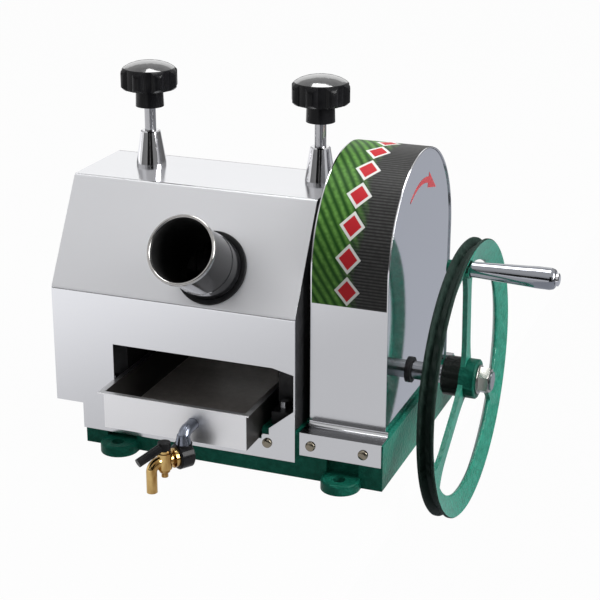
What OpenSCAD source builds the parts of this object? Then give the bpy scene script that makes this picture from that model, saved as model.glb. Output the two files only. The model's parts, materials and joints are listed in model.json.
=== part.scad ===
// Hand cranked cane press with three geared rollers, a juice tray and a flywheel crank.
// Millimetres. Origin on the bench, midway between the four foot holes. +X to the crank, +Y to the back.

/* [Base] */
// Length of the cast base
base_l = 330; // [322:1:340]
// Depth of the cast base
base_d = 260; // [254:1:270]
// Height of the cast base
base_h = 49.5; // [47:0.5:52]
// Wall of the cast base
base_wall = 12; // [10:0.5:14]
// Thickness of the ribs across the base
base_rib = 10; // [8:0.5:12]
// Radius of a foot lug
lug_r = 20; // [18:0.5:22]
// Thickness of a foot lug
lug_t = 11; // [9:0.5:13]
// Rounding of a foot lug's upper edge
lug_round = 3; // [1:0.5:4]
// Diameter of a foot hole
lug_hole_d = 13; // [11:0.5:14]
// Distance of a foot hole from the end of the base
lug_inset = 42; // [38:1:46]
// Distance of a foot hole outside the long face of the base
lug_out = 10; // [8:0.5:12]
// Height of the clearance pocket over a lug
pocket_h = 20; // [16:1:22]

/* [Rollers] */
// Diameter of each roller
roller_d = 75.4; // [74:0.2:76]
// Gap between the top roller and each lower roller
roller_nip = 0.6; // [0.6:0.1:1]
// Distance between the two lower rollers
roller_spread = 90; // [88:1:92]
// Height of the top roller
top_z = 185; // [183:0.5:187]
// Depth position of the top roller
roller_y = -8; // [-12:1:-4]
// Number of crush grooves in a roller
grooves = 14; // [8:1:18]
// Depth of a crush groove
groove_depth = 1.2; // [0.6:0.1:2]
// Diameter of the roller shafts
shaft_d = 32; // [28:1:33]
// Diameter of the roller bushes
bush_d = 40; // [38:0.5:42]

/* [Gears] */
// Teeth on the bull gear
bull_teeth = 36; // [35:1:37]
// Teeth on the drive pinion
pinion_teeth = 12; // [12:1:13]
// Module of the drive gears
drive_module = 4; // [3.9:0.05:4.1]
// Depth position of the crank shaft
crank_y = -24; // [-28:1:-20]
// Teeth on each roller gear
sync_teeth = 19; // [18:1:20]
// Slack between the teeth of meshing gears
backlash = 1.2; // [1.1:0.05:1.3]
// Face width of the gears
gear_w = 28; // [24:1:30]
// Diameter of a keyed gear hub
hub_d = 52; // [48:1:54]
// Diameter of a lightening hole in the bull gear
bull_hole_d = 20; // [16:1:22]

/* [Side frames] */
// Left side frame's distance from the base's left end
frame_end = 15.5; // [14:0.5:18]
// Right side frame's distance from the base's right end
frame_inset = 102.7; // [102:0.1:104]
// Thickness of a side frame
frame_t = 20; // [18:0.5:21]
// Height of the top of the side frames
frame_top = 250; // [248:0.5:252]
// Height of a side frame's foot
foot_t = 14; // [12:0.5:16]
// Width of a sliding bearing block
block_w = 56; // [54:0.5:58]
// Height of a sliding bearing block
block_h = 62; // [60:0.5:64]
// Thickness of the cap bars
cap_t = 16; // [14:0.5:18]
// Length of the cap bars
cap_l = 82; // [76:1:86]
// Diameter of the tie rods
tie_d = 12; // [10:0.5:13]

/* [Case] */
// Overhang of the case past the base's left end
case_over = 33; // [31:0.5:36]
// Right edge of the case, left of the base's right end
case_inset = 92.6; // [92:0.2:94]
// Sheet thickness of the covers
sheet = 1.5; // [1.2:0.1:1.8]
// Height of the fold between the upright front and the slope
fold_z = 170.5; // [168:0.5:174]
// Height of the top of the case
case_top = 276.6; // [274:0.2:280]
// Depth taken by the slope
slope_run = 61; // [58:0.5:64]
// Depth of the flat top, rounded edge included
top_run = 112; // [108:1:116]
// Radius of the rounded rear edge
rear_r = 14; // [10:1:18]
// Lower edge of the front apron
apron_z = 16.7; // [15:0.1:20]
// Lower edge of the case beside the base
skirt_z = 44.8; // [43:0.2:46.5]
// Height of the rear opening for the pressed cane
outlet_h = 60; // [54:1:64]

/* [Feed tube] */
// Diameter of the feed tube
tube_d = 66; // [62:0.5:70]
// Wall of the feed tube
tube_wall = 1.8; // [1.4:0.1:2.4]
// Length of the feed tube outside the slope
tube_l = 82; // [76:1:90]
// Feed tube's middle, right of the side frames' middle
tube_side = 18.6; // [14:0.2:22]
// Height of the feed tube's middle on the slope
tube_z = 205.9; // [203:0.2:208]
// Width of the collar round the feed tube
collar_w = 5; // [4:0.5:7]

/* [Gear housing] */
// Width of the gear housing
housing_w = 80.6; // [79:0.2:82]
// Right face of the housing, left of the base's right end
housing_inset = 4.2; // [3:0.2:6]
// Outside radius of the housing's arch
housing_r = 109.75; // [108:0.25:112]
// Height of the arch's middle
arch_z = 209.2; // [207:0.2:212]
// Height of the mounting strip
strip_h = 23.5; // [20:0.5:26]
// Overhang of the mounting strip on each side
strip_side = 3; // [2:0.2:3.6]
// Diameter of a cover screw's head
screw_head_d = 10.4; // [8:0.2:12]

/* [Crank] */
// Diameter of the crank shaft
crank_d = 19; // [18:0.25:20]
// Radius of the crank wheel
wheel_r = 143.9; // [138:0.5:148]
// Width of the wheel's rim
rim_w = 17.2; // [15:0.2:19]
// Radial depth of the wheel's rim
rim_depth = 22; // [20:0.5:24]
// Depth of the belt groove in the rim
belt_depth = 7.5; // [6:0.5:8]
// Thickness of a spoke
spoke_t = 5; // [4.4:0.2:8]
// Width of a spoke at its middle
spoke_w = 15; // [13:0.5:18]
// Distance of the wheel from the gear housing
wheel_gap = 48.7; // [44:0.5:54]
// Diameter of the wheel's boss
boss_d = 41; // [38:0.5:48]
// Length of the boss on the side of the housing
boss_in = 13; // [10:0.5:16]
// Length of the boss on the side of the nut
boss_out = 5; // [3:0.5:8]
// Length of the hand grip
grip_l = 84; // [76:1:92]
// Diameter of the grip at its free end
grip_d = 21.5; // [20:0.5:24]
// Diameter of the grip beside the wheel
grip_root_d = 15.6; // [14:0.2:18]
// Diameter of the grip's spindle
spindle_d = 9; // [8:0.25:10]
// Angle of the grip from the top of the wheel
grip_angle = 13; // [8:1:16]

/* [Pressure knobs] */
// Diameter across the knob's lobes
knob_d = 62; // [58:0.5:66]
// Height of the knob's top
knob_top = 388; // [384:0.5:392]
// Height of the whole knob
knob_h = 48; // [44:0.5:52]
// Height of the knob's hub
knob_hub_h = 19; // [16:0.5:22]
// Diameter of the knob's hub
knob_hub_d = 30; // [27:0.5:33]
// Rise of the knob's domed top
knob_dome = 14; // [10:0.5:16]
// Diameter of the adjusting screws
screw_d = 12; // [10:0.5:13]
// Height of the cone bushes on the case
cone_h = 37.5; // [34:0.5:40]
// Diameter of a cone bush at its foot
cone_low_d = 32; // [29:0.5:35]
// Diameter of a cone bush at its top
cone_top_d = 21; // [18:0.5:24]

/* [Juice tray] */
// Gap between the tray and the left side frame
tray_gap_left = 5.8; // [5:0.2:7]
// Gap between the tray and the right side frame
tray_gap_right = 8; // [7:0.2:9]
// Height of the tray
tray_h = 40; // [38:0.5:41]
// Length of the tray
tray_l = 251; // [246:1:254]
// How far the tray stands out of the case
tray_out = 34.5; // [30:0.5:38]
// Width of the tray's rim
tray_rim = 4.5; // [3:0.25:5]
// Height of the seat that the tray slides on
seat_z = 38.2; // [37:0.2:39]

/* [Tap] */
// Outlet pipe's middle, right of the tray's middle
tap_side = 20.7; // [16:0.1:24]
// Diameter of the outlet pipe
pipe_d = 12.5; // [12:0.25:14]
// Reach of the outlet pipe in front of the tray
pipe_l = 24; // [22:0.5:27]
// Depth of the outlet pipe's middle below the tray's rim
pipe_drop = 20; // [18:0.5:22]
// Drop of the tap below the outlet pipe
tap_drop = 24; // [22:0.5:26]
// Turn of the tap to the left
tap_turn = 34; // [20:1:50]
// Diameter of the tap's black nut
tap_nut_d = 26; // [23:0.5:28]
// Diameter of the brass flange
tap_flange_d = 20; // [18:0.5:22]
// Diameter of the tap's plug
plug_d = 9; // [8:0.25:10]
// Diameter of the spout
spout_d = 11; // [9.5:0.25:12]
// Height of the spout's end above the bench
spout_end = 4; // [2:0.5:10]
// Length of the tap's lever
lever_l = 32; // [28:1:38]
// Diameter of the tap's lever
lever_d = 9; // [7:0.5:10]

/* [Hidden] */
$fn = 64;

iron_green = [0.10, 0.42, 0.32];
steel = [0.80, 0.81, 0.83];
bright = [0.70, 0.71, 0.73];
bronze = [0.72, 0.53, 0.28];
brass = [0.83, 0.66, 0.30];
black = [0.06, 0.06, 0.07];
dark_iron = [0.22, 0.23, 0.24];

// Radial play of a shaft in its bush, of a sliding fit and of parts that pass each other
fit = 0.05;
slip = 0.2;
clear = 0.3;
// Overlap that joins shapes of one piece, and how far a cut runs past what it cuts
part_eps = 0.01;
cut = 5;

face_y = -base_d / 2;
back_y = base_d / 2;
frame_l_out = -base_l / 2 + frame_end;
frame_r_out = base_l / 2 - frame_inset;
frame_l_in = frame_l_out + frame_t;
frame_r_in = frame_r_out - frame_t;
frame_gap = frame_r_in - frame_l_in;
frame_mid = (frame_l_in + frame_r_in) / 2;
left_x = frame_l_out + frame_t / 2;
right_x = frame_r_in + frame_t / 2;
frame_starts = [frame_l_out, frame_r_in];

low_drop = sqrt(pow(roller_d + roller_nip, 2) - pow(roller_spread / 2, 2));
low_z = top_z - low_drop;
front_y = roller_y - roller_spread / 2;
rear_y = roller_y + roller_spread / 2;
lower_rollers = [front_y, rear_y];
roller_end_gap = 2;
roller_len = frame_gap - 2 * roller_end_gap;

case_right = base_l / 2 - case_inset;
case_left = -base_l / 2 - case_over;
case_l = case_right - case_left;
housing_right = base_l / 2 - housing_inset;
housing_left = housing_right - housing_w;
wheel_in = housing_right + wheel_gap;
wheel_out = wheel_in + rim_w;

pressure_angle = 25;
addendum = 0.95;
dedendum = 1.25;
flank_steps = 5;
gear_gap = 14;
sync_gap = 6;
shaft_stub = 4;
sync_module = (roller_d + roller_nip) / sync_teeth;
drive_dist = drive_module * (bull_teeth + pinion_teeth) / 2;
crank_z = top_z - sqrt(pow(drive_dist, 2) - pow(crank_y - roller_y, 2));
gear_x = case_right + gear_gap;
sync_x = frame_l_out - sync_gap - gear_w;
sync_end = sync_x - shaft_stub;

block_z = top_z - block_h / 2 + 1;
block_top = block_z + block_h;

tray_left = frame_l_in + tray_gap_left;
tray_right = frame_r_in - tray_gap_right;
tray_w = tray_right - tray_left;
tray_mid = (tray_left + tray_right) / 2;
tray_front = face_y - sheet - tray_out;
tray_z = seat_z + slip;
tray_top = tray_z + tray_h;

slope_angle = atan2(case_top - fold_z, slope_run);
slope_y = face_y + (tube_z - fold_z) * slope_run / (case_top - fold_z);
tube_x = frame_mid + tube_side;

// Extrudes an outline drawn in depth and height along the length of the press
module along_x(x0, len) translate([x0, 0, 0]) rotate([90, 0, 90]) linear_extrude(len) children();

// Extrudes an outline drawn in length and height along the depth of the press
module along_y(y0, len) translate([0, y0 + len, 0]) rotate([90, 0, 0]) linear_extrude(len) children();

// Round bar along the length of the press
module bar_x(x0, x1, d, y, z) translate([x0, y, z]) rotate([0, 90, 0]) cylinder(h = x1 - x0, d = d);

// Ring along the length of the press
module ring_x(x0, x1, d, bore, y, z) difference() {
  bar_x(x0, x1, d, y, z);
  bar_x(x0 - cut, x1 + cut, bore, y, z);
}

// Revolved profile of radius and length, turned to lie along the length of the press
module turned_x(x0, y, z) translate([x0, y, z]) rotate([0, 90, 0]) rotate_extrude() children();

// The same list in the other order
function reversed(v) = [for (i = [len(v) - 1 : -1 : 0]) v[i]];

// One point of an involute at a given radius
function involute_turn(rb, r) = let (a = acos(rb / r)) tan(a) * 180 / PI - a;

// Half the angle of a tooth at a given radius
function half_tooth(n, m, r) = let (rp = n * m / 2, rb = rp * cos(pressure_angle), at = max(r, rb))
  (PI * m / 2 - backlash / 2) / (2 * rp) * 180 / PI + involute_turn(rb, rp) - involute_turn(rb, at);

// Point on one flank of a tooth whose middle lies at the angle called middle
function flank(n, m, r, middle, side) = let (a = middle + side * half_tooth(n, m, r)) r * [cos(a), sin(a)];

// Outline of a spur gear, with its first tooth at the angle called phase
module gear_outline(n, m, phase) {
  root = n * m / 2 - dedendum * m;
  tip = n * m / 2 + addendum * m;
  radii = [for (i = [0 : flank_steps]) root + (tip - root) * i / flank_steps];
  middles = [for (t = [0 : n - 1]) phase + t * 360 / n];
  polygon([for (a = middles) each concat([for (r = radii) flank(n, m, r, a, -1)],
    [for (r = reversed(radii)) flank(n, m, r, a, 1)])]);
}

// Spur gear on a shaft along X, with a raised hub on its right
module spur_gear(x0, n, m, phase, y, z, hub) difference() {
  union() {
    translate([0, y, z]) along_x(x0, gear_w) gear_outline(n, m, phase);
    bar_x(x0, x0 + gear_w + hub, hub_d, y, z);
  }
  bar_x(x0 - cut, x0 + gear_w + hub + cut, shaft_d, y, z);
}

// Four copies of a foot feature, mirrored to both ends and both faces of the base
module at_feet() for (sx = [-1, 1], sy = [-1, 1])
  translate([sx * (base_l / 2 - lug_inset), sy * base_d / 2, 0]) rotate(sy > 0 ? 180 : 0) children();

lug_set = 6;
round_steps = 3;

// Half outline of a lug in radius and height, rounded at its upper edge
lug_side = concat([[lug_r, 0]], [for (i = [0 : round_steps]) let (a = 90 * i / round_steps)
  [lug_r - lug_round + lug_round * cos(a), lug_t - lug_round + lug_round * sin(a)]]);

module foot_lug() difference() {
  union() {
    translate([0, -lug_set, 0]) rotate_extrude() polygon(concat([[0, 0]], lug_side, [[0, lug_t]]));
    along_y(-lug_set, 2 * lug_set) polygon(concat(lug_side, [for (p = reversed(lug_side)) [-p[0], p[1]]]));
  }
  translate([0, -lug_out, -cut]) cylinder(h = lug_t + 2 * cut, d = lug_hole_d);
}

channel_side = 2;
channel_back = 3;
channel_deep = 30;
pocket_side = 3;
pocket_in = 8;

module base_casting() color(iron_green) {
  open_l = tray_left - channel_side;
  open_w = tray_w + 2 * channel_side;
  open_back = tray_front + tray_l + channel_back;
  difference() {
    union() {
      difference() {
        translate([-base_l / 2, face_y, 0]) cube([base_l, base_d, base_h]);
        translate([-base_l / 2 + base_wall, face_y + base_wall, -cut])
          cube([base_l - 2 * base_wall, base_d - 2 * base_wall, base_h - base_wall + cut]);
        translate([open_l, face_y - cut, seat_z]) cube([open_w, open_back - face_y + cut, base_h]);
        translate([open_l, face_y + base_wall, seat_z - channel_deep])
          cube([open_w, open_back - face_y - base_wall, base_h]);
      }
      for (y = [face_y / 3, open_back - 2 * base_rib])
        translate([-base_l / 2 + 1, y, 0]) cube([base_l - 2, base_rib, seat_z]);
    }
    at_feet() translate([pocket_side - lug_r, -cut, lug_t])
      cube([2 * (lug_r - pocket_side), pocket_in + cut, pocket_h]);
  }
  at_feet() foot_lug();
}

// Reach of a side frame past the lower rollers' axes, at its foot and above it
foot_reach = 66;
frame_reach = 46;
// Rise of the frame's upright sides over the lower rollers' axes
frame_rise = 26;
// Half width and height of the frame's head
head_half = 54;
head_h = 34;

frame_front = [[front_y - foot_reach, base_h], [front_y - foot_reach, base_h + foot_t],
  [front_y - frame_reach, base_h + foot_t], [front_y - frame_reach, low_z + frame_rise],
  [roller_y - head_half, frame_top - head_h], [roller_y - head_half, frame_top]];

// Outline of a side frame in depth and height, alike before and behind the top roller
module frame_outline() polygon(concat(frame_front,
  [for (p = reversed(frame_front)) [2 * roller_y - p[0], p[1]]]));

// Places of the tie rods: two in the frames' heads and one just over the tray's rear end
tie_head_y = 43;
tie_head_drop = 22;
tie_low_back = 37;
tie_low_gap = 1.2;
tie_nut_d = 21;
tie_nut_h = 5.5;
tie_end = 4;
tie_head_z = frame_top - tie_head_drop;
tie_places = [[roller_y - tie_head_y, tie_head_z], [roller_y + tie_head_y, tie_head_z],
  [rear_y + tie_low_back, tray_top + tie_low_gap + tie_d / 2]];

module side_frame(x0) difference() {
  along_x(x0, frame_t) frame_outline();
  translate([x0 - cut, roller_y - block_w / 2, block_z - slip]) cube([frame_t + 2 * cut, block_w, frame_top]);
  for (y = lower_rollers) bar_x(x0 - cut, x0 + frame_t + cut, bush_d, y, low_z);
  for (p = tie_places) bar_x(x0 - cut, x0 + frame_t + cut, tie_d, p[0], p[1]);
}

crank_bush_wall = 4;
crank_bush_d = crank_d + 2 * crank_bush_wall;
crank_seat = 3;

module left_side_frame() color(dark_iron) side_frame(frame_l_out);

module right_side_frame() color(dark_iron) difference() {
  side_frame(frame_r_in);
  bar_x(frame_r_in + crank_seat, frame_r_out + cut, crank_bush_d, crank_y, crank_z);
}

module cap_bars() color(dark_iron) for (x = frame_starts) difference() {
  translate([x, roller_y - cap_l / 2, frame_top]) cube([frame_t, cap_l, cap_t]);
  translate([x + frame_t / 2, roller_y, frame_top - cut])
    cylinder(h = cap_t + 2 * cut, d = screw_d + 4 * fit);
}

module tie_rods() color(bright) for (p = tie_places)
  bar_x(frame_l_out - tie_end, frame_r_out + tie_end, tie_d, p[0], p[1]);

module tie_rod_nuts() color(bright) for (p = tie_places, x = [frame_l_out - tie_nut_h, frame_r_out])
  translate([x, p[0], p[1]]) rotate([0, 90, 0]) difference() {
    cylinder(h = tie_nut_h, d = tie_nut_d, $fn = 6);
    translate([0, 0, -cut]) cylinder(h = tie_nut_h + 2 * cut, d = tie_d);
  }

module roller_bushes() color(bronze) for (y = lower_rollers, x = frame_starts)
  ring_x(x, x + frame_t, bush_d, shaft_d + 2 * fit, y, low_z);

module crank_bush() color(bronze)
  ring_x(frame_r_in + crank_seat, frame_r_out, crank_bush_d, crank_d + 2 * fit, crank_y, crank_z);

// Pedestal under the crank shaft, close behind the housing's side plate
pedestal_t = 18;
pedestal_gap = 12;
pedestal_x = housing_right - pedestal_gap - pedestal_t;
pedestal_head_d = 42;
pedestal_foot = 37;
pedestal_foot_t = 9;
pedestal_waist = 23;
pedestal_front = [[crank_y - pedestal_foot, base_h], [crank_y - pedestal_foot, base_h + pedestal_foot_t],
  [crank_y - pedestal_waist, base_h + pedestal_foot_t], [crank_y - pedestal_head_d / 2, crank_z]];

module outboard_pedestal() color(iron_green) difference() {
  union() {
    along_x(pedestal_x, pedestal_t)
      polygon(concat(pedestal_front, [for (p = reversed(pedestal_front)) [2 * crank_y - p[0], p[1]]]));
    bar_x(pedestal_x, pedestal_x + pedestal_t, pedestal_head_d, crank_y, crank_z);
  }
  bar_x(pedestal_x - cut, pedestal_x + pedestal_t + cut, crank_bush_d, crank_y, crank_z);
}

module pedestal_bush() color(bronze)
  ring_x(pedestal_x, pedestal_x + pedestal_t, crank_bush_d, crank_d + 2 * fit, crank_y, crank_z);

// Half outline of the turn plate, from its foot up to the dip between its two lips
turn_foot = 5;
turn_lip = 9;
turn_low = 14;
turn_waist = 6;
turn_high = 18;
turn_dip = 15;
turn_half = [[turn_foot, -turn_low], [turn_foot, turn_waist], [turn_lip, turn_high], [0, turn_dip]];

// Bar that turns the crushed cane from the first nip into the second
module turn_plate() color(dark_iron) translate([0, roller_y, low_z])
  along_x(frame_l_in + slip / 2, frame_gap - slip)
    polygon(concat(turn_half, [for (i = [2 : -1 : 0]) [-turn_half[i][0], turn_half[i][1]]]));

bolt_h = 9;
bolt_d = 9;
bolt_reach = 56;
pedestal_bolt = 30;

module hex_bolt() cylinder(h = bolt_h, d = bolt_d, $fn = 6);

module frame_bolts() color(bright) {
  for (x = [left_x, right_x], y = [front_y - bolt_reach, rear_y + bolt_reach])
    translate([x, y, base_h + foot_t]) hex_bolt();
  for (s = [-1, 1]) translate([pedestal_x + pedestal_t / 2, crank_y + s * pedestal_bolt, base_h])
    translate([0, 0, pedestal_foot_t]) hex_bolt();
}

top_back = face_y + slope_run + top_run;
rear_fold = 20;
rear_turn = 40;

// Outer outline of the case in depth and height, from the apron round to the rear foot
case_points = concat(
  [[face_y - sheet, apron_z], [face_y - sheet, fold_z], [face_y - sheet + slope_run, case_top]],
  [for (a = [90 : -10 : rear_turn]) [top_back, case_top] + rear_r * [cos(a) - 1, sin(a) - 1]],
  [[back_y, fold_z - rear_fold], [back_y, base_h]]);

// The same outline moved inwards by the thickness of the sheet
function unit(v) = v / norm(v);
function inward(u) = [u[1], -u[0]];
function shifted(a, b, t) = let (u = unit(b - a)) [a + t * inward(u), u];
function cross2(a, b) = a[0] * b[1] - a[1] * b[0];
function crossing(p, q) = p[0] + p[1] * cross2(q[0] - p[0], q[1]) / cross2(p[1], q[1]);
function inside(pts, t) = let (n = len(pts), runs = [for (i = [0 : n - 2]) shifted(pts[i], pts[i + 1], t)])
  concat([runs[0][0]], [for (i = [1 : n - 2]) crossing(runs[i - 1], runs[i])],
    [pts[n - 1] + t * inward(runs[n - 2][1])]);

case_inner = inside(case_points, sheet);

// Window for the tray: room over the tray, and a slanted lower corner on its right
window_over = 38;
window_left = tray_left - tray_rim - 1;
window_right = case_right - sheet - part_eps;
window_low = seat_z - 0.6;
notch_side = 2;
notch_wide = 10;
notch_h = 5;
slant_low = 12;
slant_high = 34;
corner_w = 23;
corner_h = 5;
window_points = [[window_left, window_low], [tray_right + notch_side, window_low],
  [tray_right + notch_side, seat_z + notch_h], [tray_right + notch_wide, seat_z + notch_h],
  [tray_right + notch_wide, seat_z + slant_low], [window_right, seat_z + slant_high],
  [window_right, tray_top + window_over - corner_h], [window_right - corner_w, tray_top + window_over],
  [window_left, tray_top + window_over]];

skirt_gap = 2;
screw_room = 3;
outlet_deep = 70;
outlet_over = 10;

module case_shell() color(steel) difference() {
  along_x(case_left, case_l) polygon(concat(case_points, reversed(case_inner)));
  along_y(face_y - cut, 2 * cut) polygon(window_points);
  translate([case_left - cut, face_y - cut, apron_z - cut])
    cube([case_over - skirt_gap + cut, 2 * cut, skirt_z - apron_z + cut]);
  feed_axis() translate([0, 0, -tube_d / 3]) cylinder(h = tube_d * 2 / 3, d = tube_d + clear);
  for (x = [left_x, right_x]) translate([x, roller_y, case_top - 2 * cut])
    cylinder(h = 4 * cut, d = screw_d + screw_room);
  translate([frame_l_in, back_y - outlet_deep, low_z + outlet_over - outlet_h])
    cube([frame_gap, outlet_deep + cut, outlet_h]);
}

// Places the feed tube square to the slope, with its length along Z
module feed_axis() translate([tube_x, slope_y - sheet, tube_z]) rotate([slope_angle, 0, 0]) children();

panel_rise = 6;

// End panel that fills the case's outline
module end_panel(x0) along_x(x0, sheet) polygon(concat([[face_y + clear, skirt_z + panel_rise]],
  [for (i = [1 : len(case_inner) - 2]) case_inner[i] - [0, clear]],
  [[back_y - sheet - clear, skirt_z + panel_rise]]));

module case_left_end() color(steel) end_panel(case_left);

top_shaft_room = 14;
low_shaft_room = 8;
crank_room = 6;

module case_right_end() color(steel) difference() {
  end_panel(case_right - sheet);
  bar_x(case_right - cut, case_right + cut, shaft_d + top_shaft_room, roller_y, top_z);
  for (y = lower_rollers) bar_x(case_right - cut, case_right + cut, shaft_d + low_shaft_room, y, low_z);
  bar_x(case_right - cut, case_right + cut, crank_d + crank_room, crank_y, crank_z);
}

// Rolled bead round the tube's mouth, a shallow step along its length and its reach inside the slope
bead_out = 2.4;
bead_w = 5;
tube_step = 0.6;
tube_in = 12;

module feed_tube() color(steel) feed_axis() {
  r = tube_d / 2;
  rotate_extrude() polygon([[r - tube_wall, -tube_in], [r, -tube_in], [r, tube_l / 3],
    [r - tube_step, tube_l / 3 + tube_step], [r - tube_step, tube_l - bead_w],
    [r + bead_out * 2 / 3, tube_l - bead_w * 4 / 5], [r + bead_out, tube_l - bead_w * 2 / 5],
    [r + bead_out * 2 / 3, tube_l], [r - tube_step, tube_l], [r - tube_wall, tube_l - tube_wall]]);
}

collar_t = 3.6;
collar_edge = 1;

module feed_collar() color(dark_iron) feed_axis() translate([0, 0, sheet / 2]) {
  bore = tube_d / 2 + fit;
  rim = tube_d / 2 + collar_w;
  rotate_extrude() polygon([[bore, 0], [rim, 0], [rim, collar_t - collar_edge], [rim - collar_edge, collar_t],
    [bore, collar_t]]);
}

cone_foot = 2.5;
cone_edge = 1.2;

module knob_cones() color(bright) for (x = [left_x, right_x]) translate([x, roller_y, case_top]) {
  bore = screw_d / 2 + 2 * fit;
  rotate_extrude() polygon([[bore, 0], [cone_low_d / 2, 0], [cone_low_d / 2, cone_foot],
    [cone_top_d / 2, cone_h - cone_edge], [cone_top_d / 2 - cone_edge, cone_h], [bore, cone_h]]);
}

// Outer outline of the arch housing, open at its foot
module housing_outline(r) union() {
  translate([0, arch_z]) circle(r = r, $fn = 128);
  translate([-r, base_h + sheet]) square([2 * r, arch_z - base_h - sheet]);
}

module gear_housing() color(steel) {
  strip_l = housing_w + 2 * strip_side;
  ledge = sheet - face_y - housing_r + sheet;
  difference() {
    along_x(housing_left, housing_w) housing_outline(housing_r);
    along_x(housing_left - cut, housing_w + 2 * cut) housing_outline(housing_r - sheet);
    along_x(housing_left - cut, housing_w + 2 * cut) translate([sheet - housing_r, base_h - sheet])
      square([2 * (housing_r - sheet), 3 * sheet]);
  }
  for (s = [-1, 1]) {
    translate([housing_left - strip_side, s > 0 ? housing_r - sheet : face_y - sheet, base_h])
      cube([strip_l, ledge, sheet]);
    translate([housing_left - strip_side, s > 0 ? back_y : face_y - sheet, base_h - strip_h])
      cube([strip_l, sheet, strip_h + sheet]);
  }
}

seal_wall = 4;
seal_hole_d = crank_d + 2 * seal_wall;
seal_in = 2;
seal_out = 3;

// Plate that closes one side of the arch, set one sheet in from its edge
module arch_plate(x0) along_x(x0, sheet) intersection() {
  housing_outline(housing_r - sheet - slip);
  translate([-housing_r, base_h + sheet + slip]) square([2 * housing_r, 2 * housing_r + arch_z]);
}

module housing_side_plate() color(steel) difference() {
  arch_plate(housing_right - 2 * sheet);
  bar_x(housing_right - 2 * cut, housing_right + cut, seal_hole_d, crank_y, crank_z);
}

module housing_inner_plate() color(steel) difference() {
  arch_plate(housing_left + sheet);
  bar_x(housing_left - cut, housing_left + 2 * cut, shaft_d + top_shaft_room, roller_y, top_z);
  bar_x(housing_left - cut, housing_left + 2 * cut, crank_d + crank_room, crank_y, crank_z);
}

module shaft_seal() color(black) ring_x(housing_right - 2 * sheet - seal_in, housing_right - sheet + seal_out,
  seal_hole_d - 2 * fit, crank_d + 2 * clear, crank_y, crank_z);

// Places of the cover screws: on the apron from its ends, and on the strips from the housing's faces
apron_screw_right = 30;
apron_screw_left = 48;
apron_screw_rise = [17, 12];
strip_screw_left = 9;
strip_screw_right = 16;

// Pan head screw pointing out of the front face
module front_screw(x, z) translate([x, face_y - sheet, z]) rotate([90, 0, 0]) rotate_extrude() {
  r = screw_head_d / 2;
  polygon([[0, 0], [r, 0], [r, r * 0.23], [r * 0.8, r * 0.5], [r * 0.4, r * 0.63], [0, r * 0.67]]);
}

module cover_screws() color(bright) {
  front_screw(case_right - apron_screw_right, apron_z + apron_screw_rise[0]);
  front_screw(case_left + apron_screw_left, apron_z + apron_screw_rise[1]);
  for (x = [housing_left + strip_screw_left, housing_right - strip_screw_right], s = [0, 1])
    mirror([0, s, 0]) front_screw(x, base_h - strip_h / 2);
}

module bearing_blocks() color(dark_iron) for (x = frame_starts) difference() {
  translate([x, roller_y - block_w / 2 + slip, block_z]) cube([frame_t, block_w - 2 * slip, block_h]);
  bar_x(x - cut, x + frame_t + cut, bush_d, roller_y, top_z);
}

module top_bushes() color(bronze) for (x = frame_starts)
  ring_x(x, x + frame_t, bush_d, shaft_d + 2 * fit, roller_y, top_z);

knob_low = knob_top - knob_h;
knob_grip_z = knob_low + knob_hub_h;
screw_in_knob = 20;
screw_neck_z = 16;
screw_neck_h = 3;
screw_neck = 0.8;

module adjusting_screw(x) color(bright) translate([x, roller_y, block_top]) difference() {
  cylinder(h = knob_low + screw_in_knob - block_top, d = screw_d);
  translate([0, 0, screw_neck_z]) difference() {
    cylinder(h = screw_neck_h, d = screw_d + 1);
    translate([0, 0, -cut]) cylinder(h = screw_neck_h + 2 * cut, d = screw_d - 2 * screw_neck);
  }
}

lobe_d = 15;
lobes = 8;
lobe_dip = 7;
knob_edge = 3;
hub_taper = 0.6;

// Star knob with round lobes, a domed top and a hub below
module star_knob(x) color(black) translate([x, roller_y, 0]) {
  r = knob_d / 2;
  dome = [for (t = [0 : 15 : 90]) [r * cos(t), knob_top - knob_dome + knob_dome * sin(t)]];
  difference() {
    intersection() {
      translate([0, 0, knob_grip_z]) linear_extrude(knob_h) union() {
        circle(d = knob_d - lobe_dip);
        for (i = [1 : lobes]) rotate(i * 360 / lobes) translate([r - lobe_d / 2, 0]) circle(d = lobe_d);
      }
      rotate_extrude()
        polygon(concat([[0, knob_low], [r - knob_edge, knob_grip_z], [r, knob_grip_z + knob_edge]], dome));
    }
    translate([0, 0, knob_grip_z - cut]) cylinder(h = cut + screw_in_knob - knob_hub_h, d = screw_d);
  }
  rotate_extrude() polygon([[screw_d / 2, knob_low], [knob_hub_d / 2, knob_low],
    [knob_hub_d / 2 - hub_taper, knob_grip_z], [screw_d / 2, knob_grip_z]]);
}

module left_screw() adjusting_screw(left_x);
module right_screw() adjusting_screw(right_x);
module left_knob() star_knob(left_x);
module right_knob() star_knob(right_x);

// Roller turned with V grooves that grip the cane
module roller(y, z) color(steel) {
  pitch = roller_len / grooves;
  r = roller_d / 2;
  vees = [for (i = [0 : grooves - 1]) each
    [[r, (i + 0.3) * pitch], [r - groove_depth, (i + 0.5) * pitch], [r, (i + 0.7) * pitch]]];
  turned_x(frame_mid - roller_len / 2, y, z)
    polygon(concat([[shaft_d / 2, 0], [r, 0]], vees, [[r, roller_len], [shaft_d / 2, roller_len]]));
}

module top_roller() roller(roller_y, top_z);
module front_roller() roller(front_y, low_z);
module rear_roller() roller(rear_y, low_z);

bull_hub = 8;
sync_hub = 4;
low_shaft_end = 3;

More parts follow.
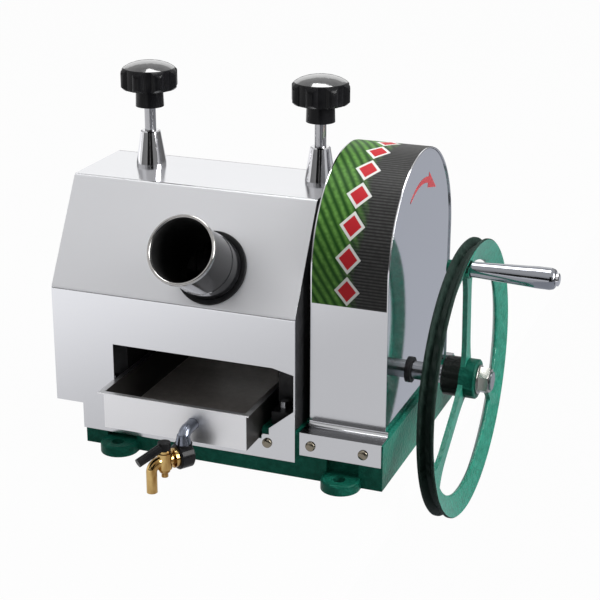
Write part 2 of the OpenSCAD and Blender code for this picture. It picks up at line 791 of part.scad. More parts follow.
module top_shaft() color(bright)
  bar_x(sync_end, gear_x + gear_w + bull_hub + shaft_stub, shaft_d, roller_y, top_z);
module front_shaft() color(bright) bar_x(sync_end, frame_r_out + low_shaft_end, shaft_d, front_y, low_z);
module rear_shaft() color(bright) bar_x(sync_end, frame_r_out + low_shaft_end, shaft_d, rear_y, low_z);

// Lines between the axes of meshing gears, which set how the teeth are turned to meet
drive_line = atan2(crank_z - top_z, crank_y - roller_y);
front_line = atan2(low_z - top_z, front_y - roller_y);
rear_line = atan2(low_z - top_z, rear_y - roller_y);
sync_pitch = 360 / sync_teeth;
rear_lead = (front_line - rear_line) - sync_pitch * floor((front_line - rear_line) / sync_pitch);
front_phase = front_line + 180 + sync_pitch / 2;
rear_phase = rear_line + 180 - rear_lead + sync_pitch / 2;

bull_hole_r = 44;
bull_holes = 6;

module bull_gear() color(dark_iron) difference() {
  spur_gear(gear_x, bull_teeth, drive_module, drive_line, roller_y, top_z, bull_hub);
  for (i = [1 : bull_holes]) translate([gear_x - cut, roller_y, top_z]) rotate([i * 360 / bull_holes, 0, 0])
    translate([0, 0, bull_hole_r]) rotate([0, 90, 0]) cylinder(h = gear_w + 2 * cut, d = bull_hole_d);
}

module sync_gear(phase, y, z) color(dark_iron)
  spur_gear(sync_x, sync_teeth, sync_module, phase, y, z, sync_hub);

module top_roller_gear() sync_gear(front_line, roller_y, top_z);
module front_roller_gear() sync_gear(front_phase, front_y, low_z);
module rear_roller_gear() sync_gear(rear_phase, rear_y, low_z);

nut_h = 11;
nut_d = 28;
nut_edge = 2;
washer_t = 2;
washer_d = 31;
shaft_proud = 2;
washer_x = wheel_out + boss_out;
nut_x = washer_x + washer_t;

module crank_shaft() color(bright)
  bar_x(frame_r_in + crank_seat + 1, nut_x + nut_h + shaft_proud, crank_d, crank_y, crank_z);

module drive_pinion() color(dark_iron) difference() {
  translate([0, crank_y, crank_z]) along_x(gear_x - 1, gear_w + 2)
    gear_outline(pinion_teeth, drive_module, drive_line + 180 + 180 / pinion_teeth);
  bar_x(gear_x - cut, gear_x + gear_w + cut, crank_d, crank_y, crank_z);
}

rim_in = wheel_r - rim_depth;
rim_edge = 1;
rim_soft = 1.5;
rim_lip = 2.6;
rim_dish = 6.2;
belt_low = 4.4;

// Half outline of the rim in radius and width: its face slopes out from a thin inner edge to the groove's lip
rim_side = [[rim_in, rim_dish + rim_soft], [rim_in + rim_soft, rim_dish], [wheel_r - rim_edge, 0],
  [wheel_r, rim_edge], [wheel_r, rim_lip], [wheel_r - belt_depth, rim_w / 2 - belt_low / 2]];

// Half width of a spoke at a given radius, flared into the rim and a little into the boss
rim_flare = 8;
rim_flare_l = 34;
boss_flare = 3;
boss_flare_l = 26;
function spoke_half(r) = spoke_w / 2 + rim_flare * pow(max(0, (r - rim_in + rim_flare_l) / rim_flare_l), 3)
  + boss_flare * pow(max(0, (boss_d / 2 + boss_flare_l - r) / boss_flare_l), 2);

spoke_steps = 16;
spokes = 3;
spoke_turn = 94;

module spoke_outline() {
  start = boss_d / 2 - 4;
  radii = [for (i = [0 : spoke_steps]) start + (rim_in + rim_soft - start) * i / spoke_steps];
  polygon(concat([for (r = radii) [r, -spoke_half(r)]], [for (r = reversed(radii)) [r, spoke_half(r)]]));
}

grip_in = 2;
grip_r = wheel_r - rim_depth / 2 - grip_in;
spindle_y = crank_y - grip_r * sin(grip_angle);
spindle_z = crank_z + grip_r * cos(grip_angle);
boss_l = boss_in + rim_w + boss_out;
boss_edge = 2;
spindle_pad_d = 19;

module crank_wheel() color(iron_green) difference() {
  union() {
    turned_x(wheel_in, crank_y, crank_z)
      polygon(concat(rim_side, [for (p = reversed(rim_side)) [p[0], rim_w - p[1]]]));
    translate([0, crank_y, crank_z]) along_x(wheel_in + (rim_w - spoke_t) / 2, spoke_t)
      for (i = [1 : spokes]) rotate(spoke_turn + i * 360 / spokes) spoke_outline();
    turned_x(wheel_in - boss_in, crank_y, crank_z) polygon([[crank_d / 2, 0], [boss_d / 2 - boss_edge, 0],
      [boss_d / 2, boss_edge], [boss_d / 2, boss_l - boss_edge / 2], [boss_d / 2 - boss_edge / 2, boss_l],
      [crank_d / 2, boss_l]]);
    intersection() {
      bar_x(wheel_in, wheel_out, spindle_pad_d, spindle_y, spindle_z);
      bar_x(wheel_in, wheel_out, 2 * (wheel_r - belt_depth), crank_y, crank_z);
    }
  }
  bar_x(wheel_in - boss_in - cut, wheel_out + boss_out + cut, crank_d, crank_y, crank_z);
  bar_x(wheel_in - cut, wheel_out + cut, spindle_d, spindle_y, spindle_z);
}

module wheel_washer() color(bright) ring_x(washer_x, nut_x, washer_d, crank_d, crank_y, crank_z);

module wheel_nut() color(bright) translate([nut_x, crank_y, crank_z]) rotate([0, 90, 0]) difference() {
  intersection() {
    cylinder(h = nut_h, d = nut_d, $fn = 6);
    rotate_extrude() polygon([[0, 0], [nut_d / 2 + 1, 0], [nut_d / 2 + 1, nut_h - nut_edge],
      [nut_d / 2 - nut_edge, nut_h], [0, nut_h]]);
  }
  translate([0, 0, -cut]) cylinder(h = nut_h + 2 * cut, d = crank_d);
}

spindle_head_d = 14;
spindle_head_t = 6;
spindle_end_d = 12.8;
spindle_end_t = 3;
spindle_room = 1;

module grip_spindle() color(bright) turned_x(wheel_in - spindle_head_t, spindle_y, spindle_z) {
  run = spindle_head_t + rim_w + grip_l + spindle_room;
  polygon([[0, 0], [spindle_head_d / 2, 0], [spindle_head_d / 2, spindle_head_t],
    [spindle_d / 2, spindle_head_t], [spindle_d / 2, run], [spindle_end_d / 2, run],
    [spindle_end_d / 2, run + spindle_end_t * 2 / 3], [spindle_d / 2, run + spindle_end_t],
    [0, run + spindle_end_t]]);
}

// Taper of the grip: from its root to the swell at its free end
grip_edge = 2.5;

module hand_grip() color(bright) turned_x(wheel_out + clear, spindle_y, spindle_z) {
  bore = spindle_d / 2 + fit;
  root = grip_root_d / 2;
  end = grip_d / 2;
  polygon([[bore, 0], [root - 0.8, 0], [root, 1], [root, grip_l / 14], [root + 0.8, grip_l / 4],
    [end - 0.8, grip_l * 5 / 8], [end, grip_l * 11 / 14], [end, grip_l - 2 * grip_edge],
    [end - grip_edge * 2 / 5, grip_l - grip_edge * 3 / 5], [end - grip_edge, grip_l], [bore, grip_l]]);
}

pipe_x = tray_mid + tap_side;
pipe_z = tray_top - pipe_drop;

module juice_tray() color(steel) difference() {
  union() {
    translate([tray_left, tray_front, tray_z]) cube([tray_w, tray_l, tray_h]);
    translate([tray_left - tray_rim, tray_front - tray_rim, tray_top - sheet])
      cube([tray_w + 2 * tray_rim, tray_l + tray_rim, sheet]);
  }
  translate([tray_left + sheet, tray_front + sheet, tray_z + sheet])
    cube([tray_w - 2 * sheet, tray_l - 2 * sheet, tray_h]);
  translate([pipe_x, tray_front - cut, pipe_z]) rotate([-90, 0, 0]) cylinder(h = 2 * cut, d = pipe_d);
}

// Outlet pipe: a short thread inside the tray, a bend over the tap and a swaged collar above it
pipe_in = 6;
pipe_bend = 9;
pipe_wall = 2;
ferrule_d = 16;
ferrule_h = 9;
tap_y = tray_front - pipe_l + 1;
body_z = pipe_z - tap_drop;
socket_h = 13;
socket_d = 18;

module pipe_run(d, past) {
  straight = pipe_l - 1 - pipe_bend + sheet + pipe_in;
  translate([pipe_x, tray_front + sheet + pipe_in + past, pipe_z]) rotate([90, 0, 0])
    cylinder(h = straight + past + part_eps, d = d);
  translate([pipe_x, tap_y + pipe_bend, pipe_z - pipe_bend]) rotate([90, 0, -90])
    rotate_extrude(angle = 90) translate([pipe_bend, 0]) circle(d = d);
  translate([pipe_x, tap_y, body_z + pipe_d / 2 - past])
    cylinder(h = tap_drop - pipe_bend - pipe_d / 2 + past + part_eps, d = d);
}

module tap_pipe() color(dark_iron) difference() {
  union() {
    pipe_run(pipe_d, 0);
    translate([pipe_x, tap_y, body_z + socket_h]) cylinder(h = ferrule_h, d1 = ferrule_d, d2 = pipe_d);
  }
  pipe_run(pipe_d - 2 * pipe_wall, 1);
}

locknut_d = 21;
locknut_h = 5;

module tap_locknut() color(bright)
  translate([pipe_x, tray_front + sheet + locknut_h, pipe_z]) rotate([90, 0, 0]) difference() {
    cylinder(h = locknut_h, d = locknut_d, $fn = 6);
    translate([0, 0, -cut]) cylinder(h = locknut_h + 2 * cut, d = pipe_d);
  }

// Places a piece of the tap at its body's middle, with the outlet along negative Y
module tap_axis() translate([pipe_x, tap_y, body_z]) rotate([0, 0, -tap_turn]) children();

nut_back = 7;
nut_front = 9;
nut_soft = 1.5;
nut_l = nut_back + nut_front;

// Black nut across the tap's axis, with an upright socket for the outlet pipe
module tap_body() color(black) tap_axis() difference() {
  union() {
    translate([0, nut_back, 0]) rotate([90, 0, 0]) rotate_extrude() polygon([[0, 0],
      [tap_nut_d / 2 - nut_soft, 0], [tap_nut_d / 2, nut_soft], [tap_nut_d / 2, nut_l - nut_soft],
      [tap_nut_d / 2 - nut_soft, nut_l], [0, nut_l]]);
    cylinder(h = socket_h, d = socket_d);
  }
  translate([0, 0, pipe_d / 2]) cylinder(h = tap_drop, d = pipe_d);
}

flange_t = 4;
barrel_y = 22;
barrel_d = 15;
barrel_h = 17;
neck_d = 13;
spout_run = 6;
spout_bend = 9;

// Flange and barrel with a plug hole across it, and a spout that curves down
module tap_spout() color(brass) tap_axis() difference() {
  spout_y = barrel_y + spout_run;
  union() {
    translate([0, -nut_front, 0]) rotate([90, 0, 0]) cylinder(h = flange_t, d = tap_flange_d);
    translate([0, -nut_front, 0]) rotate([90, 0, 0]) cylinder(h = barrel_y - nut_front, d = neck_d);
    translate([0, -barrel_y, -barrel_h / 2]) cylinder(h = barrel_h, d = barrel_d);
    translate([0, -barrel_y, 0]) rotate([90, 0, 0]) cylinder(h = spout_run + part_eps, d = spout_d);
    translate([0, -spout_y, -spout_bend]) rotate([90, 0, -90])
      rotate_extrude(angle = 90) translate([spout_bend, 0]) circle(d = spout_d);
    translate([0, -spout_y - spout_bend, spout_end - body_z])
      cylinder(h = body_z - spout_end - spout_bend + part_eps, d = spout_d);
  }
  translate([0, -barrel_y, -2 * barrel_h]) cylinder(h = 4 * barrel_h, d = plug_d + 2 * fit);
}

plug_top = barrel_h / 2 + clear;
plug_foot = 9;
plug_foot_d = 11;
plug_tip_d = 7;
plug_head_d = 12.8;
plug_head_t = 3;
plug_peg_d = 8;

module tap_plug() color(brass) tap_axis() translate([0, -barrel_y, 0]) rotate_extrude() polygon([
  [0, -plug_top - plug_foot], [plug_tip_d / 2, -plug_top - plug_foot],
  [plug_tip_d / 2, -plug_top - plug_foot / 2], [plug_foot_d / 2, -plug_top - plug_foot / 3],
  [plug_foot_d / 2, -plug_top], [plug_d / 2, -plug_top],
  [plug_d / 2, plug_top], [plug_head_d / 2, plug_top], [plug_head_d / 2, plug_top + plug_head_t],
  [plug_peg_d / 2, plug_top + plug_head_t], [plug_peg_d / 2, plug_top + plug_head_t + 1],
  [0, plug_top + plug_head_t + 1]]);

lever_hub_h = 8;
lever_hub_d = 13;
lever_slope = 20;
lever_room = 2;
lever_z = plug_top + plug_head_t;

// Sleeved lever that slopes down past the spout from a hub on the plug
module tap_lever() color(black) tap_axis() translate([0, -barrel_y, lever_z]) difference() {
  union() {
    cylinder(h = lever_hub_h, d = lever_hub_d);
    translate([0, 0, lever_hub_h / 2]) rotate([90 + lever_slope, 0, 0]) cylinder(h = lever_l, d = lever_d);
  }
  translate([0, 0, -lever_l]) cylinder(h = lever_l, d = barrel_d + lever_room);
  translate([0, 0, -part_eps]) cylinder(h = 1 + part_eps, d = plug_peg_d);
}

base_casting();
left_side_frame();
right_side_frame();
cap_bars();
tie_rods();
tie_rod_nuts();
roller_bushes();
crank_bush();
outboard_pedestal();
pedestal_bush();
turn_plate();
frame_bolts();
case_shell();
case_left_end();
case_right_end();
feed_tube();
feed_collar();
knob_cones();
gear_housing();
housing_side_plate();
housing_inner_plate();
shaft_seal();
cover_screws();
bearing_blocks();
top_bushes();
left_screw();
left_knob();
right_screw();
right_knob();
top_roller();
top_shaft();
bull_gear();
top_roller_gear();
front_roller();
front_shaft();
front_roller_gear();
rear_roller();
rear_shaft();
rear_roller_gear();
crank_shaft();
drive_pinion();
crank_wheel();
wheel_washer();
wheel_nut();
grip_spindle();
hand_grip();
juice_tray();
tap_pipe();
tap_locknut();
tap_body();
tap_spout();
tap_plug();
tap_lever();
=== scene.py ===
# %% [markdown]
# A hand cranked cane press: a green cast base, a folded steel case with three hidden rollers, an arched gear housing,
# a belt-grooved flywheel and a small brass tap. The construction comes in as a fixed frame of separate nodes, so this
# lesson only dresses it: finishes, softened edges, screw heads, a rolled lip, a printed film, small bends and an arrow.

# %% Load the frame
import bmesh
import bpy
import json
import math
from mathutils import Matrix, Vector

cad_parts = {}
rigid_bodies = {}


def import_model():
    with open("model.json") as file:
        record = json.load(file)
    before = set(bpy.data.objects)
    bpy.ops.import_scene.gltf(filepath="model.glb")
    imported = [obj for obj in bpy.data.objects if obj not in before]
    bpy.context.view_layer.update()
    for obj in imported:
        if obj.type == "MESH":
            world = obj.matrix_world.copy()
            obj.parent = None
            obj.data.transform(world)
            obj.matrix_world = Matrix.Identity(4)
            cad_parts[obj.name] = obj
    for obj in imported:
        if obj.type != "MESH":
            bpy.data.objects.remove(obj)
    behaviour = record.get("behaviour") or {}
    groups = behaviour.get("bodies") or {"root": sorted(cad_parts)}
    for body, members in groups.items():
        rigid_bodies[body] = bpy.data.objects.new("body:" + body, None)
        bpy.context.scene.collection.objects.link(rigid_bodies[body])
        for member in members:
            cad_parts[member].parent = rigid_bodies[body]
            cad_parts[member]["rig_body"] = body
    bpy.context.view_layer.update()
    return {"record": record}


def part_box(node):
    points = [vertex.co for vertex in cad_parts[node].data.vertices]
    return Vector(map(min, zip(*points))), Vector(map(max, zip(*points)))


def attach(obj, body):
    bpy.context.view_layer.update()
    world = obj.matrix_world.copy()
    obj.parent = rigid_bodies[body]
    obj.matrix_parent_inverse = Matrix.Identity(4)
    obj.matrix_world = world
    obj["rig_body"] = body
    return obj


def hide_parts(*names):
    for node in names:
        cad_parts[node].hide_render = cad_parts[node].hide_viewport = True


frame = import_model()
MM = 0.001

# %% [markdown]
# The camera stands where the photographer stood: to the right of the press, a little above it, with a long lens. Its
# place was found once by fitting the straight edges of the base, case and housing, so it is only written down here.

# %% Camera
CAMERA_PLACE = Vector((0.594, -1.4841, 0.7209))
CAMERA_AZIMUTH = math.radians(20.895)
CAMERA_ELEVATION = math.radians(20.05)
CAMERA_ROLL = math.radians(0.16)
PHOTO_WIDTH = 600
FOCAL_PIXELS = 1585.6
SENSOR_WIDTH = 36.0
FAR_CLIP = 50


def place_camera():
    back = Vector((math.sin(CAMERA_AZIMUTH) * math.cos(CAMERA_ELEVATION),
                   -math.cos(CAMERA_AZIMUTH) * math.cos(CAMERA_ELEVATION), math.sin(CAMERA_ELEVATION)))
    right = Vector((math.cos(CAMERA_AZIMUTH), math.sin(CAMERA_AZIMUTH), 0))
    up = back.cross(right)
    turned = Matrix.Rotation(CAMERA_ROLL, 3, back)
    right, up = turned @ right, turned @ up
    lens = bpy.data.cameras.new("photo_camera")
    lens.sensor_width = SENSOR_WIDTH
    lens.lens = FOCAL_PIXELS / PHOTO_WIDTH * SENSOR_WIDTH
    lens.clip_end = FAR_CLIP
    camera = bpy.data.objects.new("photo_camera", lens)
    bpy.context.collection.objects.link(camera)
    axes = Matrix((right, up, back)).transposed().to_4x4()
    camera.matrix_world = Matrix.Translation(CAMERA_PLACE) @ axes
    bpy.context.scene.camera = camera
    return camera


camera = place_camera()
print("lens", round(camera.data.lens, 1), "mm")

# %% [markdown]
# The press is bolted to a bench edge so that its wheel can hang past the end. The stage is a pale bench top that stops
# short of the wheel and a pale floor far below it. Polished sheet shows its surroundings more than itself, so each
# stage surface has two values: how white the camera sees it, and how bright a mirror sees it. In a mirror the bench
# also grows brighter towards the front left, which grades the front of the case.

# %% Stage surfaces
SEEN_WHITE = 0.975
STAGE_ROUGH = 0.9
STAGE_SHINE = 0.1
BENCH_FADE = {"along": (-1, -0.5, 0), "between": (0.20, 0.75), "values": (0.80, 1.28)}


def graded(tree, fade):
    place = tree.nodes.new("ShaderNodeTexCoord")
    turn = tree.nodes.new("ShaderNodeVectorMath")
    turn.operation = "DOT_PRODUCT"
    turn.inputs[1].default_value = fade["along"]
    rise = tree.nodes.new("ShaderNodeMapRange")
    rise.interpolation_type = "SMOOTHSTEP"
    rise.inputs["From Min"].default_value, rise.inputs["From Max"].default_value = fade["between"]
    rise.inputs["To Min"].default_value, rise.inputs["To Max"].default_value = fade["values"]
    tree.links.new(place.outputs["Object"], turn.inputs[0])
    tree.links.new(turn.outputs["Value"], rise.inputs["Value"])
    return rise


def glow_for(tree, ray, below, colour, share, fade=None):
    glow = tree.nodes.new("ShaderNodeEmission")
    glow.inputs["Color"].default_value = (*colour, 1)
    if fade:
        tree.links.new(graded(tree, fade).outputs[0], glow.inputs["Strength"])
    path = tree.nodes.new("ShaderNodeLightPath")
    part = tree.nodes.new("ShaderNodeMath")
    part.operation = "MULTIPLY"
    part.inputs[1].default_value = share
    mix = tree.nodes.new("ShaderNodeMixShader")
    tree.links.new(path.outputs[ray], part.inputs[0])
    tree.links.new(part.outputs[0], mix.inputs[0])
    tree.links.new(below.outputs[0], mix.inputs[1])
    tree.links.new(glow.outputs[0], mix.inputs[2])
    return mix


def stage_material(name, grey, seen_white, mirror_colour, mirror_share, fade=None):
    mat = bpy.data.materials.new(name)
    mat.use_nodes = True
    tree = mat.node_tree
    surface = tree.nodes["Principled BSDF"]
    surface.inputs["Base Color"].default_value = (grey, grey, grey, 1)
    surface.inputs["Roughness"].default_value = STAGE_ROUGH
    surface.inputs["Specular IOR Level"].default_value = STAGE_SHINE
    mirrored = glow_for(tree, "Is Glossy Ray", surface, mirror_colour, mirror_share, fade)
    seen = glow_for(tree, "Is Camera Ray", mirrored, (1, 1, 1), seen_white)
    tree.links.new(seen.outputs[0], tree.nodes["Material Output"].inputs["Surface"])
    return mat


bench_white = stage_material("bench_white", grey=0.28, seen_white=SEEN_WHITE,
                             mirror_colour=(0.98, 0.98, 1.0), mirror_share=0.93, fade=BENCH_FADE)
floor_white = stage_material("floor_white", grey=0.45, seen_white=SEEN_WHITE,
                             mirror_colour=(0.54, 0.56, 0.62), mirror_share=0.85)
print("stage surfaces", bench_white.name, "and", floor_white.name, "seen at", SEEN_WHITE)

# %% [markdown]
# Both surfaces are plain boxes. The bench top lies a hair below the foot of the base, so that the two never share a
# plane, and it ends before the wheel begins.

# %% Bench and floor
BENCH_EDGE = 0.182
BENCH_DROP = 0.0003
BENCH_THICK = 0.03
FLOOR_DROP = 0.75
STAGE_REACH = 4.0


def stage_box(name, low, high, mat):
    mesh = bpy.data.meshes.new(name)
    shape = bmesh.new()
    bmesh.ops.create_cube(shape, size=1)
    size, middle = Vector(high) - Vector(low), (Vector(high) + Vector(low)) / 2
    for vert in shape.verts:
        vert.co = Vector([c * s + m for c, s, m in zip(vert.co, size, middle)])
    shape.to_mesh(mesh)
    shape.free()
    box = bpy.data.objects.new(name, mesh)
    mesh.materials.append(mat)
    bpy.context.collection.objects.link(box)
    return box


stage_box("bench_top", (-STAGE_REACH, -STAGE_REACH, -BENCH_THICK), (BENCH_EDGE, STAGE_REACH, -BENCH_DROP), bench_white)
stage_box("studio_floor", (-STAGE_REACH, -STAGE_REACH, -FLOOR_DROP - BENCH_THICK),
          (STAGE_REACH, STAGE_REACH, -FLOOR_DROP), floor_white)
print("bench stops at", BENCH_EDGE, "m, floor", FLOOR_DROP, "m below")

# %% [markdown]
# A strong lamp stands at the right, where the wheel's face is brightest in the photo, and a weaker one hangs overhead.
# Three wide dim panels are there to be mirrored: one in front for the sloping sheet, one behind for the top sheet and
# one at the left for the front. Lamps of known size give soft shadows without any other setting.

# %% Lamps
LAMPS = {
    "right_lamp": {"place": (1.75, -0.15, 0.95), "aim": (0.15, 0, 0.12), "size": (1.0, 1.2), "watts": 48},
    "front_panel": {"place": (-1.35, -1.30, 1.25), "aim": (-0.06, -0.1, 0.2), "size": (1.2, 1.8), "watts": 1.7},
    "back_panel": {"place": (-0.75, 1.65, 0.95), "aim": (-0.05, 0, 0.25), "size": (1.9, 1.0), "watts": 4.6},
    "left_panel": {"place": (-2.0, -0.45, 0.38), "aim": (-0.1, 0, 0.3), "size": (1.3, 0.8), "watts": 2.8},
    "top_lamp": {"place": (0.0, 0.15, 1.6), "aim": (0, 0, 0.2), "size": (0.8, 0.7), "watts": 12},
}


def facing(place, aim, front):
    turn = (Vector(aim) - Vector(place)).to_track_quat(front, "Y").to_matrix().to_4x4()
    return Matrix.Translation(place) @ turn


def soft_lamp(name, place, aim, size, watts):
    data = bpy.data.lights.new(name, "AREA")
    data.shape = "RECTANGLE"
    data.size, data.size_y = size
    data.energy = watts
    lamp = bpy.data.objects.new(name, data)
    bpy.context.collection.objects.link(lamp)
    lamp.matrix_world = facing(place, aim, "-Z")


for name, row in LAMPS.items():
    soft_lamp(name, **row)
bpy.context.scene.view_settings.view_transform = "Standard"
print("lamps", len(bpy.data.lights))

# %% [markdown]
# The world has three strengths, told apart by the kind of ray: a low one that lights the press, plain white for the
# camera, and for mirrors a grey that brightens from the horizon upwards, so that round bright parts show a gradient.

# %% World
WORLD_LIT = 0.24
MIRROR_LOW, MIRROR_HIGH = 0.20, 0.96
HORIZON, OVERHEAD = -0.05, 0.65


def mirrored_sky(tree):
    way = tree.nodes.new("ShaderNodeTexCoord")
    axes = tree.nodes.new("ShaderNodeSeparateXYZ")
    rise = tree.nodes.new("ShaderNodeMapRange")
    rise.inputs["From Min"].default_value, rise.inputs["From Max"].default_value = HORIZON, OVERHEAD
    rise.inputs["To Min"].default_value, rise.inputs["To Max"].default_value = MIRROR_LOW, MIRROR_HIGH
    sky = tree.nodes.new("ShaderNodeBackground")
    tree.links.new(way.outputs["Generated"], axes.inputs[0])
    tree.links.new(axes.outputs["Z"], rise.inputs["Value"])
    tree.links.new(rise.outputs[0], sky.inputs["Strength"])
    return sky


def studio_world():
    world = bpy.data.worlds.new("studio_world")
    bpy.context.scene.world = world
    world.use_nodes = True
    tree = world.node_tree
    plain = tree.nodes["Background"]
    plain.inputs["Strength"].default_value = WORLD_LIT
    plain.inputs["Color"].default_value = (1, 1, 1, 1)
    seen = tree.nodes.new("ShaderNodeBackground")
    seen.inputs["Color"].default_value = (1, 1, 1, 1)
    path = tree.nodes.new("ShaderNodeLightPath")
    either = tree.nodes.new("ShaderNodeMath")
    either.operation = "MAXIMUM"
    tree.links.new(path.outputs["Is Camera Ray"], either.inputs[0])
    tree.links.new(path.outputs["Is Transmission Ray"], either.inputs[1])
    last = plain
    for chosen, shade in ((path.outputs["Is Glossy Ray"], mirrored_sky(tree)), (either.outputs[0], seen)):
        mix = tree.nodes.new("ShaderNodeMixShader")
        tree.links.new(chosen, mix.inputs[0])
        tree.links.new(last.outputs[0], mix.inputs[1])
        tree.links.new(shade.outputs[0], mix.inputs[2])
        last = mix
    tree.links.new(last.outputs[0], tree.nodes["World Output"].inputs["Surface"])


studio_world()
print("world lights at", WORLD_LIT, "and mirrors from", MIRROR_LOW, "to", MIRROR_HIGH)

# %% [markdown]
# A photographer puts black cards beside the camera to give chrome its dark stripe. Here two dark screens do it for the
# cones, the grip and the tube. Only mirrors can see them, so they cast no shadow and never show.

# %% Dark screens
SCREEN_THICK = 0.01


def dark_screen(name, place, aim, size):
    half_x, half_y = size[0] / 2, size[1] / 2
    screen = stage_box(name, (-half_x, -half_y, -SCREEN_THICK), (half_x, half_y, 0), screen_black)
    screen.matrix_world = facing(place, aim, "Z")
    screen.visible_camera = False
    screen.visible_diffuse = False
    screen.visible_shadow = False
    return screen


screen_black = stage_material("screen_black", grey=0.01, seen_white=0.0,
                              mirror_colour=(0.01, 0.01, 0.01), mirror_share=1.0)
screens = [dark_screen("camera_screen", place=(0.82, -1.78, 0.62), aim=(0, 0, 0.2), size=(0.8, 1.5)),
           dark_screen("front_screen", place=(0.0, -1.9, 0.55), aim=(0.1, 0, 0.2), size=(0.75, 0.6))]
print("dark screens", len(screens))

# %% [markdown]
# Every finish starts from one plain shader with a colour, a metal share and a roughness. Patterns are laid over it from
# Object coordinates, in metres, so a pattern keeps its real size. Generated coordinates would stretch with each piece.

# %% Plain shader and its coordinates
EVEN = (1, 1, 1)


def shader_of(mat):
    return mat.node_tree.nodes["Principled BSDF"]


def new_finish(name, colour, metallic, roughness):
    mat = bpy.data.materials.new(name)
    mat.use_nodes = True
    shader = shader_of(mat)
    shader.inputs["Base Color"].default_value = (*colour, 1)
    shader.inputs["Metallic"].default_value = metallic
    shader.inputs["Roughness"].default_value = roughness
    return mat


def set_gloss(mat, shine, coat=0.0):
    shader_of(mat).inputs["Specular IOR Level"].default_value = shine
    shader_of(mat).inputs["Coat Weight"].default_value = coat


def object_mapping(mat, stretch):
    place = mat.node_tree.nodes.new("ShaderNodeTexCoord")
    turn = mat.node_tree.nodes.new("ShaderNodeMapping")
    turn.inputs["Scale"].default_value = stretch
    mat.node_tree.links.new(place.outputs["Object"], turn.inputs["Vector"])
    return turn.outputs[0]


print("shader helpers: plain finish, gloss and object coordinates")

# %% [markdown]
# No real surface is even. One noise, stretched or not, moves the roughness, the height and the colour of a finish
# together, so that a dull spot is also a low or a dark one. Most values of a noise lie near its middle, so the ramps
# below spread only that middle range.

# %% Noise and what it moves
NOISE_MIDDLE = (0.3, 0.7)
TONE_MIDDLE = (0.35, 0.65)


def noise_of(mat, stretch, scale, detail):
    noise = mat.node_tree.nodes.new("ShaderNodeTexNoise")
    noise.inputs["Scale"].default_value = scale
    noise.inputs["Detail"].default_value = detail
    mat.node_tree.links.new(object_mapping(mat, stretch), noise.inputs["Vector"])
    return noise.outputs[0]


def spread(mat, source, low, high, between=NOISE_MIDDLE):
    ramp = mat.node_tree.nodes.new("ShaderNodeMapRange")
    ramp.inputs["From Min"].default_value, ramp.inputs["From Max"].default_value = between
    ramp.inputs["To Min"].default_value, ramp.inputs["To Max"].default_value = low, high
    mat.node_tree.links.new(source, ramp.inputs["Value"])
    return ramp.outputs[0]


def roughness_from(mat, source, low, high):
    mat.node_tree.links.new(spread(mat, source, low, high), shader_of(mat).inputs["Roughness"])


def bump_on(mat, source, height, strength):
    bump = mat.node_tree.nodes.new("ShaderNodeBump")
    bump.inputs["Strength"].default_value = strength
    bump.inputs["Distance"].default_value = height
    mat.node_tree.links.new(source, bump.inputs["Height"])
    normal = shader_of(mat).inputs["Normal"]
    if normal.links:
        mat.node_tree.links.new(normal.links[0].from_socket, bump.inputs["Normal"])
    mat.node_tree.links.new(bump.outputs[0], normal)


def mixed(mat, factor, low, high):
    mix = mat.node_tree.nodes.new("ShaderNodeMix")
    mix.data_type = "RGBA"
    mat.node_tree.links.new(factor, mix.inputs["Factor"])
    for name, value in (("A", low), ("B", high)):
        if isinstance(value, tuple):
            mix.inputs[name].default_value = (*value, 1)
        else:
            mat.node_tree.links.new(value, mix.inputs[name])
    return mix.outputs["Result"]


def two_tone(mat, source, dark, light):
    tone = mixed(mat, spread(mat, source, 0, 1, TONE_MIDDLE), dark, light)
    mat.node_tree.links.new(tone, shader_of(mat).inputs["Base Color"])


print("noise helpers: spread, roughness, height, mixed colour and two tones")

# %% [markdown]
# The castings wear a green hammered enamel: thick, glossy, pooled into shallow dimples a few millimetres across. Smooth
# Voronoi cells give the dimples, and a slow noise shifts the green where the coat lies thinner. The base is duller than
# the wheel, and its green, and still more the hub's, is darkened as painted shade, so shine and a shade factor are
# inputs.

# %% Green hammered enamel
ENAMEL_MEAN = (0.012, 0.17, 0.115)
ENAMEL_THIN = (0.007, 0.140, 0.092)
ENAMEL_THICK = (0.018, 0.200, 0.138)
DIMPLE_SCALE = 380
DIMPLE_SMOOTH = 0.8
DIMPLE_DEPTH = 0.8 * MM
COAT_ROUGH = 0.2


def green_enamel(name, shine, coat, shade_factor=1.0):
    mat = new_finish(name, ENAMEL_MEAN, 0.0, 0.3)
    slow = noise_of(mat, EVEN, scale=130, detail=5)
    two_tone(mat, slow, tuple(c * shade_factor for c in ENAMEL_THIN), tuple(c * shade_factor for c in ENAMEL_THICK))
    roughness_from(mat, slow, 0.30, 0.38)
    cells = mat.node_tree.nodes.new("ShaderNodeTexVoronoi")
    cells.feature = "SMOOTH_F1"
    cells.inputs["Scale"].default_value = DIMPLE_SCALE
    cells.inputs["Smoothness"].default_value = DIMPLE_SMOOTH
    mat.node_tree.links.new(object_mapping(mat, EVEN), cells.inputs["Vector"])
    bump_on(mat, cells.outputs["Distance"], DIMPLE_DEPTH, strength=0.6)
    set_gloss(mat, shine, coat)
    shader_of(mat).inputs["Coat Roughness"].default_value = COAT_ROUGH
    return mat


# The base's green is darkened to 0.74 of the wheel's as painted shade.
base_enamel = green_enamel("green_hammered_enamel", shine=0.08, coat=0.0, shade_factor=0.74)
wheel_enamel = green_enamel("wheel_enamel", shine=0.3, coat=0.15)
print("enamels", base_enamel.name, "and", wheel_enamel.name)

# %% [markdown]
# The covers are polished stainless sheet. A polish is never even: fine lines run along the rolling direction and the
# flat sheet waves a little, so straight reflections bend. Both come from stretched noise.

# %% Polished sheet
ROLLED_LINES = (3, 60, 900)
LINE_DEPTH = 0.01 * MM


